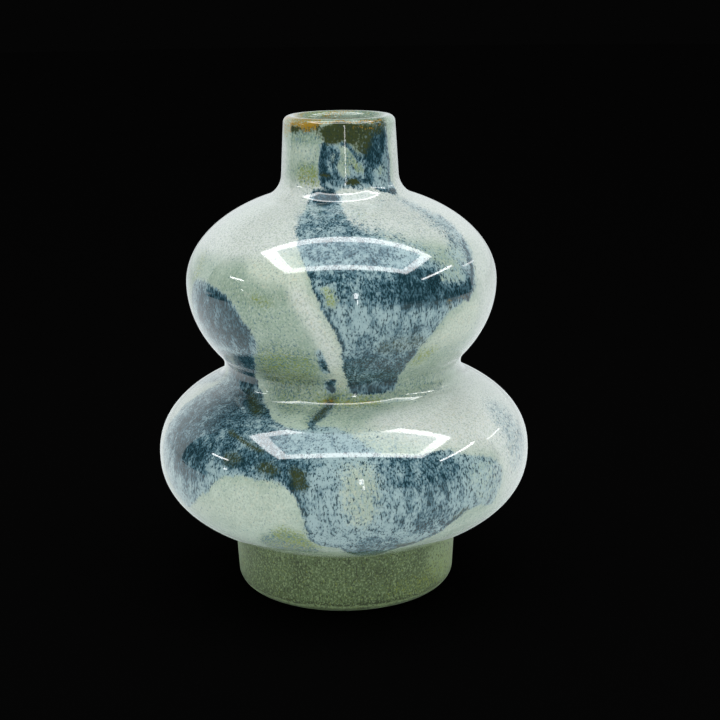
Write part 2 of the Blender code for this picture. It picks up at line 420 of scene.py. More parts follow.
def foot_strips(walls):
    """Floor, inside wall, stepped rim, outside wall, standing ring and recessed underside."""
    form, seam = walls.form, walls.seams["foot"]
    floor = form.recess_depth + form.floor_thickness
    corner = min(form.floor_corner_radius, seam - floor)
    wall_radius = walls.inner_radius(floor + corner)
    side = outer_strip(walls, form.foot_edge_radius, seam)
    edge_centre = side.rows[-1, 0] - form.foot_edge_radius
    ring_inner = edge_centre - form.ring_width
    slope_top = ring_inner - form.recess_slope
    return [
        *flat_strip("inside", (0.0, floor), (wall_radius - corner, floor)),
        arc_strip("inside", (wall_radius - corner, floor + corner), corner, -90, 0, hollow=True),
        inner_strip(walls, floor + corner, seam + form.step_height),
        *walls.rim(seam),
        side,
        arc_strip("edge", (edge_centre, form.foot_edge_radius), form.foot_edge_radius, 0, -90),
        *flat_strip("bare", (edge_centre, 0.0), (ring_inner, 0.0)),
        *flat_strip("under", (ring_inner, 0.0), (slope_top, form.recess_depth),
                    (0.0, form.recess_depth)),
    ]


def bulb_strips(walls, low_seam, high_seam):
    """Inside wall, stepped rim, outside wall and the socket for the step below."""
    form = walls.form
    socket_top = low_seam + form.step_height + form.joint_gap
    return [
        inner_strip(walls, socket_top, high_seam + form.step_height),
        *walls.rim(high_seam),
        outer_strip(walls, low_seam, high_seam),
        *walls.socket(low_seam),
    ]


def neck_strips(walls):
    """Inside wall, rounded lip, outside wall and the socket for the step below."""
    form = walls.form
    seam, top = walls.seams["neck"], walls.seams["top"] - form.skin
    shoulder = top - form.lip_edge_radius
    outer_edge = min(form.lip_edge_radius, form.lip_wall_share * form.wall)
    outer, inner = walls.outer_radius(shoulder), walls.inner_radius(shoulder)
    crest = outer - outer_edge
    stretch = np.array(((crest - inner) / form.lip_edge_radius, 1.0))
    lip_in = arc_strip("edge", (0.0, 0.0), form.lip_edge_radius, 180, 90)
    lip_in.rows[:, :2] = lip_in.rows[:, :2] * stretch + (crest, shoulder)
    lip_in.rows[:, 2:] /= stretch
    lip_in.rows[:, 2:] /= np.linalg.norm(lip_in.rows[:, 2:], axis=1, keepdims=True)
    lip_out = arc_strip("edge", (crest, shoulder), outer_edge, 90, 0)
    return [
        inner_strip(walls, seam + form.step_height + form.joint_gap, shoulder),
        lip_in,
        lip_out,
        outer_strip(walls, seam, shoulder),
        *walls.socket(seam),
    ]


# Turning: one mesh from the strips of a section, with its own normals and unwrapping

SHOWN = ("outside", "edge")
MASKS = {"lined": ("inside", "joint"), "bare": ("bare", "under")}
# Heights in the unwrapping of the shown front and back and of all that is hidden
FRONT_BAND, BACK_BAND, HIDDEN_BAND = (0.004, 0.436), (0.444, 0.876), (0.884, 0.996)
BAND_SIDE = 0.004
SAME_POINT = 1e-7
Section = namedtuple("Section", "piece azimuth radius run shown")


def unwrap_band(shown, steps):
    """Where a ring's facets lie in the unwrapping: first sides, facet width, low ends and height."""
    facet = np.arange(steps)
    if not shown:
        return facet / steps, 1 / steps, HIDDEN_BAND[0], HIDDEN_BAND[1] - HIDDEN_BAND[0]
    half = steps // 2
    low = np.where(facet < half, FRONT_BAND[0], BACK_BAND[0])
    return (facet % half) / half, 1 / half, low, FRONT_BAND[1] - FRONT_BAND[0]


def section_rings(strips):
    """Radius and height of each ring of a section, the one where its strips close only once."""
    rows = np.vstack([strip.rows[:-1, :2] for strip in strips])
    last = strips[-1].rows[-1:, :2]
    if np.allclose(strips[0].rows[:1, :2], last, atol=SAME_POINT):
        return rows
    return np.vstack((rows, last))


def ring_points(rows, around):
    """Points of all rings, one point for a ring on the axis, and their numbers by ring and step."""
    steps = len(around)
    numbers = np.empty((len(rows), steps), int)
    points = []
    for ring, (radius, height) in enumerate(rows):
        if radius == 0.0:
            numbers[ring] = len(points)
            points.append((0.0, 0.0, height))
        else:
            numbers[ring] = len(points) + np.arange(steps)
            points += np.column_stack((radius * around, np.full(steps, height))).tolist()
    return points, numbers


def facet_corners(row, low, high, on_axis):
    """Corners of the facets between two rings, as strip row, ring and side of the facet."""
    corners = [(row, low, 0), (row + 1, high, 0), (row + 1, high, 1), (row, low, 1)]
    if on_axis[low]:
        corners.pop(3)
    elif on_axis[high]:
        corners.pop(2)
    return corners


def turned(name, strips, form, low_run):
    """A section turned about the Z axis from its strips, whose outside ends at low_run."""
    steps = form.steps_around
    azimuth = np.radians(-90 + 360 * np.arange(steps) / steps)
    around = np.column_stack((np.sin(azimuth), -np.cos(azimuth)))
    sides = (np.arange(steps), (np.arange(steps) + 1) % steps)
    rows = section_rings(strips)
    count = len(rows)
    points, numbers = ring_points(rows, around)
    on_axis = rows[:, 0] == 0.0

    spans = {True: 0.0, False: 0.0}
    for strip in strips:
        spans[strip.kind in SHOWN] += float(run_along(strip.rows[:, :2])[-1])
    reached = {True: 0.0, False: 0.0}
    faces, normals, places, kinds = [], [], [], []
    ring_shown = np.zeros(count, bool)
    travel = np.full(count, np.nan)
    ring, gone, bottom = 0, 0.0, 0.0
    for strip in strips:
        shown = strip.kind in SHOWN
        along = run_along(strip.rows[:, :2])
        first_side, facet, low, tall = unwrap_band(shown, steps)
        for k in range(len(strip.rows) - 1):
            this, following = ring % count, (ring + 1) % count
            corners = facet_corners(k, this, following, on_axis)
            faces += np.column_stack([numbers[at, sides[side]] for _, at, side in corners]).tolist()
            facing = np.empty((steps, len(corners), 3))
            place = np.empty((steps, len(corners), 2))
            for c, (row, _, side) in enumerate(corners):
                facing[:, c, :2] = strip.rows[row, 2] * around[sides[side]]
                facing[:, c, 2] = strip.rows[row, 3]
                share = (reached[shown] + along[row]) / spans[shown]
                place[:, c, 0] = BAND_SIDE + (1 - 2 * BAND_SIDE) * (first_side + side * facet)
                place[:, c, 1] = low + tall * share
            normals.append(facing.reshape(-1, 3))
            places.append(place.reshape(-1, 2))
            kinds += [strip.kind] * (steps * len(corners))
            for at, row in ((this, k), (following, k + 1)):
                ring_shown[at] |= shown
                if np.isnan(travel[at]):
                    travel[at] = gone + along[row]
            ring += 1
        reached[shown] += along[-1]
        gone += along[-1]
        if strip.kind == "outside":
            bottom = gone

    piece = new_piece(name, points, faces, np.vstack(normals), np.vstack(places), kinds)
    spread = np.repeat(np.arange(count), np.where(on_axis, 1, steps))
    turn = np.concatenate([[0.0] if single else azimuth for single in on_axis])
    return Section(piece, np.degrees(turn), rows[spread, 0] / MM,
                   (low_run + bottom - travel[spread]) / MM, ring_shown[spread])


def new_piece(name, points, faces, normals, places, kinds):
    """An object from points and faces, with what each corner of a face carries."""
    mesh = bpy.data.meshes.new(name)
    mesh.from_pydata(points, [], faces)
    unwrapped = mesh.uv_layers.new(name="OFBake")
    unwrapped.data.foreach_set("uv", places.reshape(-1).astype(np.float32))
    mesh.shade_smooth()
    mesh.normals_split_custom_set(normals.tolist())
    for mask, masked in MASKS.items():
        store(mesh, mask, "FLOAT", "CORNER", np.isin(kinds, masked))
    piece = bpy.data.objects.new(name, mesh)
    bpy.context.scene.collection.objects.link(piece)
    return piece


def store(mesh, name, kind, domain, values):
    """Keep a value or vector for each point or corner of a mesh."""
    stored = mesh.attributes.new(name, kind, domain)
    stored.data.foreach_set("vector" if kind == "FLOAT_VECTOR" else "value",
                            values.reshape(-1).astype(np.float32))


# Washes: where the glaze lies, drawn by angle round from the front and by height in millimetres

Wash = namedtuple("Wash", "layer depth blur points width")


def area(layer, depth, blur, *points):
    """A patch of glaze with a closed outline, whose edge fades over twice the blur."""
    return Wash(layer, depth, blur, points, 0.0)


def line(layer, depth, blur, width, *points):
    """A drawn stroke of glaze, or a spot where it has one point. Its width is a half width."""
    return Wash(layer, depth, blur, points, width)


def softened(points, closed):
    """An outline with its corners cut twice, a quarter from each end of a side, so that it flows."""
    for _ in range(2):
        ahead = np.roll(points, -1, axis=0)
        cut = np.stack((0.75 * points + 0.25 * ahead, 0.25 * points + 0.75 * ahead), axis=1)
        if closed:
            points = cut.reshape(-1, 2)
        else:
            points = np.vstack((points[:1], cut[:-1].reshape(-1, 2), points[-1:]))
    return points


SHORTEST = 1e-12


def edge_distance(spots, start, end):
    """Distance from each spot to one straight stretch of an outline."""
    along = end - start
    share = ((spots - start) @ along) / max(along @ along, SHORTEST)
    nearest = start + np.clip(share, 0, 1)[:, None] * along
    return np.linalg.norm(spots - nearest, axis=1)


def wash_depth(spots, outline_points, width):
    """How far each spot lies inside a wash, in millimetres, negative outside it."""
    closed = width == 0.0
    points = softened(outline_points, closed) if len(outline_points) > 2 else outline_points
    ends = np.roll(points, -1, axis=0) if closed else points[1:]
    if len(points) == 1:
        return width - np.linalg.norm(spots - points[0], axis=1)
    nearest = np.full(len(spots), np.inf)
    within = np.zeros(len(spots), bool)
    for start, end in zip(points, ends):
        nearest = np.minimum(nearest, edge_distance(spots, start, end))
        if closed and start[1] != end[1]:
            spans = (start[1] > spots[:, 1]) != (end[1] > spots[:, 1])
            meets = start[0] + (spots[:, 1] - start[1]) * (end[0] - start[0]) / (end[1] - start[1])
            within ^= spans & (spots[:, 0] < meets)
    return np.where(within, nearest, -nearest) if closed else width - nearest


def smooth(values, low, high):
    """Values eased from 0 at low to 1 at high."""
    t = np.clip((values - low) / (high - low), 0, 1)
    return t * t * (3 - 2 * t)


# How far the edges of the washes wander and over what distance, in millimetres, and the seed
WANDER, WANDER_SIZE, WANDER_SEED = 0.7, 4.0, 3


def lay_glaze(section, walls):
    """Write a section's flow coordinate and the washes that reach it to its mesh."""
    turn = np.radians(section.azimuth)
    flow = np.column_stack((section.radius * np.sin(turn), -section.radius * np.cos(turn), section.run))
    seed_set(WANDER_SEED)
    stray = np.array([noise_vector(Vector(at) / WANDER_SIZE) for at in flow]) * WANDER
    run = section.run + stray[:, 2]
    layers = {name: np.zeros(len(flow)) for name in LAYERS}
    for wash in WASHES:
        drawn = np.array(wash.points, float)
        middle = (drawn[:, 0].min() + drawn[:, 0].max()) / 2
        azimuth = (section.azimuth - middle + 180) % 360 - 180 + middle
        across = np.radians(azimuth) * section.radius + stray[:, 0]
        drawn = walls.wall_place(drawn[:, 0], drawn[:, 1] * MM) / MM
        reach = wash.blur + wash.width
        near = ((across > drawn[:, 0].min() - reach) & (across < drawn[:, 0].max() + reach)
                & (run > drawn[:, 1].min() - reach) & (run < drawn[:, 1].max() + reach)
                & section.shown)
        if not near.any():
            continue
        spots = np.column_stack((across[near], run[near]))
        amount = abs(wash.depth) * smooth(wash_depth(spots, drawn, wash.width), -wash.blur, wash.blur)
        layer = layers[wash.layer]
        if wash.depth > 0:
            layer[near] = 1 - (1 - layer[near]) * (1 - amount)
        else:
            layer[near] *= 1 - amount
    mesh = section.piece.data
    store(mesh, "flow", "FLOAT_VECTOR", "POINT", flow)
    for name, values in layers.items():
        store(mesh, name, "FLOAT", "POINT", values)


# run is blue glaze, pool is where it gathers dark (on the foot, darker mottle and a darker line along its
# edge), milk is cloudy pale glaze, painted paler where light falls on the shoulders from above, cream the
# halo of a run (on the foot, pale glaze whose edge line and sides are partly painted highlight and sheen),
# olive and moss are green tints, iron is ochre and umber dark olive, which low on the upper bulb also
# paints shade over the waist
LAYERS = ("run", "pool", "milk", "cream", "olive", "moss", "iron", "umber")

# An angle past 180 on both sides takes a wash all the way around
AROUND = 220

FOOT_WASHES = (
    # Along the foot's lower edge: a darker line 3.4 mm up, a pale line at 2.5 mm that is partly thin glaze
    # and partly painted highlight, and darker glaze under 1.5 mm
    line("pool", 1.0, 0.4, 0.6, (-AROUND, 3.4), (AROUND, 3.4)),
    line("cream", 1.0, 0.4, 0.35, (-AROUND, 2.5), (AROUND, 2.5)),
    area("pool", 0.6, 0.6, (-AROUND, 1.5), (AROUND, 1.5), (AROUND, -4), (-AROUND, -4)),
    # Paler glaze on the foot's sides, more on the right: partly its own pale mottle, partly painted sheen
    # where the sides turn away
    area("cream", 1.0, 4.0, (44, 20), (120, 21), (120, 5), (54, 5)),
    area("cream", 0.3, 4.0, (-62, 20), (-120, 21), (-120, 5), (-68, 5)),
    area("moss", 0.6, 3.5, (16, 8), (40, 10), (54, 14), (80, 15), (80, 4.5), (40, 4.5), (20, 5)),
    area("moss", 0.5, 2.0, (-80, 13), (-64, 14), (-66, 8), (-80, 7)),
    area("pool", 0.45, 2.5, (-28, 20), (-19, 20), (-20, 9), (-26, 8)),
    area("pool", 0.3, 2.5, (-58, 9), (-30, 7), (-30, 4), (-58, 4)),
    area("pool", 0.3, 3.0, (4, 15), (26, 17), (30, 12), (6, 11)),
    area("moss", 0.5, 3.0, (120, 10), (160, 12), (190, 9), (190, 5), (125, 5)),
    area("pool", 0.4, 3.0, (205, 20), (226, 20), (222, 10), (208, 9)),
)

LOWER_BULB_WASHES = (
    # Pale glaze low at the left, and on the right of the shoulder and of the belly
    area("cream", 0.45, 4.0, (-58, 36), (-44, 46), (-34, 52), (-18, 53), (-13, 46), (-14, 40),
         (-30, 38)),
    area("cream", 0.75, 3.5, (-2, 69), (30, 70), (52, 72), (60, 66), (56, 58), (34, 61), (12, 62)),
    area("milk", 0.9, 4.5, (6, 69), (30, 72.5), (60, 75), (70, 66), (64, 54), (34, 60)),
    area("cream", 0.5, 4.0, (-8, 60), (10, 62), (14, 52), (12, 43), (4, 38), (-8, 38), (-9, 48)),
    area("milk", 0.85, 6.0, (56, 74), (96, 75), (110, 60), (100, 40), (66, 36), (54, 40), (55, 50)),
    area("milk", 0.7, 5.0, (-78, 74), (-100, 76), (-112, 60), (-100, 38), (-76, 36), (-76, 55)),
    area("milk", 0.6, 5.0, (-190, 70), (-100, 72), (-104, 62), (-190, 58)),
    # Olive on the shoulder and over the foot
    area("olive", 0.45, 2.5, (-36, 80), (56, 80), (54, 73), (30, 72.5), (0, 72), (-22, 70.5), (-30, 72)),
    area("olive", 0.25, 3.0, (-28, 72), (10, 73), (14, 68), (-6, 68)),
    area("moss", 0.35, 2.0, (-20, 80), (20, 80), (18, 72.5), (-16, 72)),
    area("olive", 1.0, 2.0, (-28, 34), (-20, 38), (-13, 38), (-10, 34), (-8, 31), (-8, 28), (-28, 28)),
    area("moss", 0.8, 1.6, (-23, 36), (-20, 40), (-14, 40), (-11, 37), (-8, 34), (-4, 31.5), (-12, 31),
         (-18, 33)),
    area("moss", 0.35, 1.2, (-26, 32), (-18, 34.5), (-12, 32.5), (-10, 29), (-26, 28.5)),
    area("iron", 0.12, 1.2, (-24, 32), (-18, 34.5), (-12, 32.5), (-10, 30), (-24, 29.5)),
    area("olive", 0.4, 3.0, (16, 28), (40, 34), (60, 34), (60, 26), (18, 25)),
    area("olive", 0.3, 3.0, (0, 57), (10, 57), (12, 44), (2, 43)),
    # The wide run across the front, from the shoulder on the left to the foot
    area("run", 1.0, 1.4, (-74, 75), (-76, 70), (-78, 62), (-76, 55), (-73, 50), (-68, 45),
         (-62, 40), (-57, 36), (-52, 40), (-46, 44.5), (-42, 48), (-40, 51), (-36, 53.5), (-30, 54.5),
         (-20, 54.5), (-16, 53), (-13, 50), (-11.5, 46), (-11, 40), (-10, 35), (-7, 32.5), (-3, 31.5),
         (0, 31), (2, 28), (5, 25.6), (10, 25), (14, 26), (17, 29), (22, 30), (27, 32), (31, 34),
         (35, 37.5), (38, 40), (44, 41), (48, 38.8), (52, 39.5), (54, 45), (55, 51), (50, 55.5),
         (42, 57.5), (36, 60), (30, 61), (20, 60.5), (10, 62), (2, 67.5), (-5, 69),
         (-10, 68), (-18, 68), (-25, 69), (-30, 70.5), (-35, 72.5), (-40, 75), (-44, 80),
         (-66, 80)),
    area("olive", 0.45, 2.0, (-31, 77), (-20, 76), (-20, 71.5), (-24, 70.5), (-29, 73)),
    area("moss", 0.4, 2.0, (-30, 77), (-20, 76), (-20, 72.5), (-28, 73.5)),
    line("run", 0.34, 2.0, 1.3, (-36, 76.5), (-32, 73.5), (-27, 71), (-20, 69.5)),
    area("run", 0.35, 4.0, (0, 70), (14, 68), (26, 63), (14, 60), (0, 62)),
    area("run", -0.62, 3.5, (-1, 60), (9, 61), (11.5, 52), (10, 42), (4, 38), (0, 44), (-1, 52)),
    area("run", -0.4, 3.5, (38, 57), (56, 56), (57, 40), (46, 40), (38, 44)),
    area("run", 0.5, 5.0, (60, 46), (59, 55), (60, 66), (68, 69), (78, 67), (80, 55), (74, 46)),
    line("run", 0.9, 1.6, 1.6, (-6, 73), (-8, 71.5), (-11, 69.5), (-10, 68)),
    line("pool", 0.8, 1.6, 1.2, (-6, 73), (-8, 71.5), (-11, 69.5)),
    line("umber", 0.6, 1.6, 1.2, (-4, 74.5), (-7, 72.5), (-10, 70.5)),
    line("olive", 0.7, 1.5, 2.2, (-3, 75), (-7, 72.5), (-12, 69.5)),
    # Where it gathers dark
    area("pool", 0.6, 4.0, (-74, 74), (-52, 76), (-42, 74), (-34, 70), (-34, 62), (-46, 56), (-62, 52),
         (-74, 56)),
    area("pool", 0.6, 1.6, (-54, 75.5), (-42, 74.5), (-33, 72), (-24, 70.2), (-24, 68.2), (-37, 69.5),
         (-50, 72)),
    area("umber", 0.2, 2.0, (-52, 76), (-40, 75), (-32, 72), (-34, 70), (-48, 73)),
    area("pool", 0.85, 1.4, (-48, 76), (-41, 76), (-39, 80), (-60, 80), (-58, 76.5)),
    area("pool", 0.62, 2.0, (-66, 60), (-46, 60.5), (-42, 56), (-44, 51), (-52, 47), (-62, 49)),
    area("pool", 0.6, 2.2, (-42, 62), (-30, 62.5), (-18, 61), (-9, 60.5), (-9.5, 53), (-13, 50),
         (-17, 54), (-26, 55.5), (-38, 56.5)),
    area("pool", 0.4, 3.0, (-32, 68), (-19, 68), (-17, 60), (-30, 60)),
    line("pool", 0.8, 1.0, 0.6, (-15, 54), (-12.5, 50), (-11, 45), (-10.5, 38), (-9, 34)),
    area("pool", 0.42, 3.0, (10, 60), (24, 61.5), (36, 60), (38, 52), (24, 50), (12, 51)),
    area("pool", 0.3, 3.5, (14, 50), (36, 52), (36, 40), (30, 34), (16, 36)),
    area("pool", 0.45, 2.5, (3, 34), (10, 36), (18, 34), (17, 30), (12, 26), (5, 26)),
    line("pool", 0.9, 0.8, 0.5, (0.5, 31), (2.5, 28.3), (5.5, 26.1), (10, 25.5), (13.5, 26.6),
         (17, 29.4), (22, 30.6), (27, 32.5), (31, 34.6), (35, 38.2), (38, 40.6)),
    area("umber", 0.5, 1.5, (-39, 60), (-32, 60.5), (-32, 57), (-38, 57)),
    area("umber", 0.5, 1.5, (-26, 59.5), (-19, 59), (-19, 55.5), (-25, 55.5)),
    area("umber", 0.6, 1.5, (-16, 59), (-10, 58), (-10, 52), (-14, 52)),
    line("umber", 0.6, 1.0, 0.8, (-40, 65), (-34, 64), (-26, 62)),
    area("umber", 0.4, 2.0, (-44, 74), (-32, 71), (-34, 69), (-46, 72)),
    line("umber", 0.5, 1.0, 0.8, (35, 39), (39, 41)),
    line("umber", 0.5, 1.0, 0.7, (18, 30.5), (23, 31.3)),
    line("iron", 0.5, 0.7, 0.4, (-8, 74.2), (-3, 74.4)),
    line("iron", 0.5, 0.7, 0.4, (2, 74), (6, 73.9)),
    line("iron", 0.45, 0.6, 0.3, (9, 73.8), (13, 73.7)),
    line("moss", 1.0, 1.2, 0.9, (-10, 74.3), (0, 74.1), (16, 73.6)),
    line("olive", 0.5, 1.2, 1.2, (-10, 74.3), (0, 74.1), (16, 73.6)),
    # The side that the photo doesn't show
    area("run", 1.0, 2.0, (118, 66), (128, 70.5), (144, 71.5), (162, 69), (174, 63), (179, 52),
         (173, 44), (163, 38), (153, 33), (143, 28.5), (135, 31), (127, 37), (120, 44), (115, 54)),
    area("pool", 0.65, 3.0, (120, 60), (136, 62), (158, 60), (172, 56), (164, 50), (138, 52), (122, 52)),
    line("pool", 0.9, 0.8, 0.5, (125, 38), (134, 31), (143, 28.8), (153, 33), (163, 38.5)),
    area("run", -0.5, 4.0, (132, 50), (142, 56), (150, 48), (144, 40), (134, 42)),
    area("run", 1.0, 2.0, (206, 60), (220, 66.5), (234, 71), (250, 80), (266, 80), (268, 70),
         (270, 60), (266, 50), (260, 43), (250, 38), (241, 32.5), (232, 36), (222, 42), (212, 50)),
    area("pool", 0.6, 3.0, (210, 57), (228, 60), (248, 60), (264, 56), (254, 51), (228, 52)),
    area("pool", 0.4, 3.0, (234, 44), (250, 46), (250, 40), (240, 34)),
    line("pool", 0.9, 0.8, 0.5, (222, 42), (232, 36), (241, 32.8), (250, 38), (260, 43.5)),
    area("olive", 0.5, 3.0, (60, 80), (245, 80), (238, 73), (210, 71), (150, 72), (100, 71)),
    area("moss", 0.8, 2.0, (178, 36), (190, 41), (203, 38), (204, 31), (182, 31)),
    area("olive", 0.6, 2.5, (176, 38), (190, 43), (206, 39), (208, 29), (178, 29)),
    line("iron", 0.8, 0.7, 0.4, (164, 74), (180, 74.3), (196, 73.8)),
    line("umber", 0.5, 1.2, 0.9, (126, 58), (134, 57)),
)

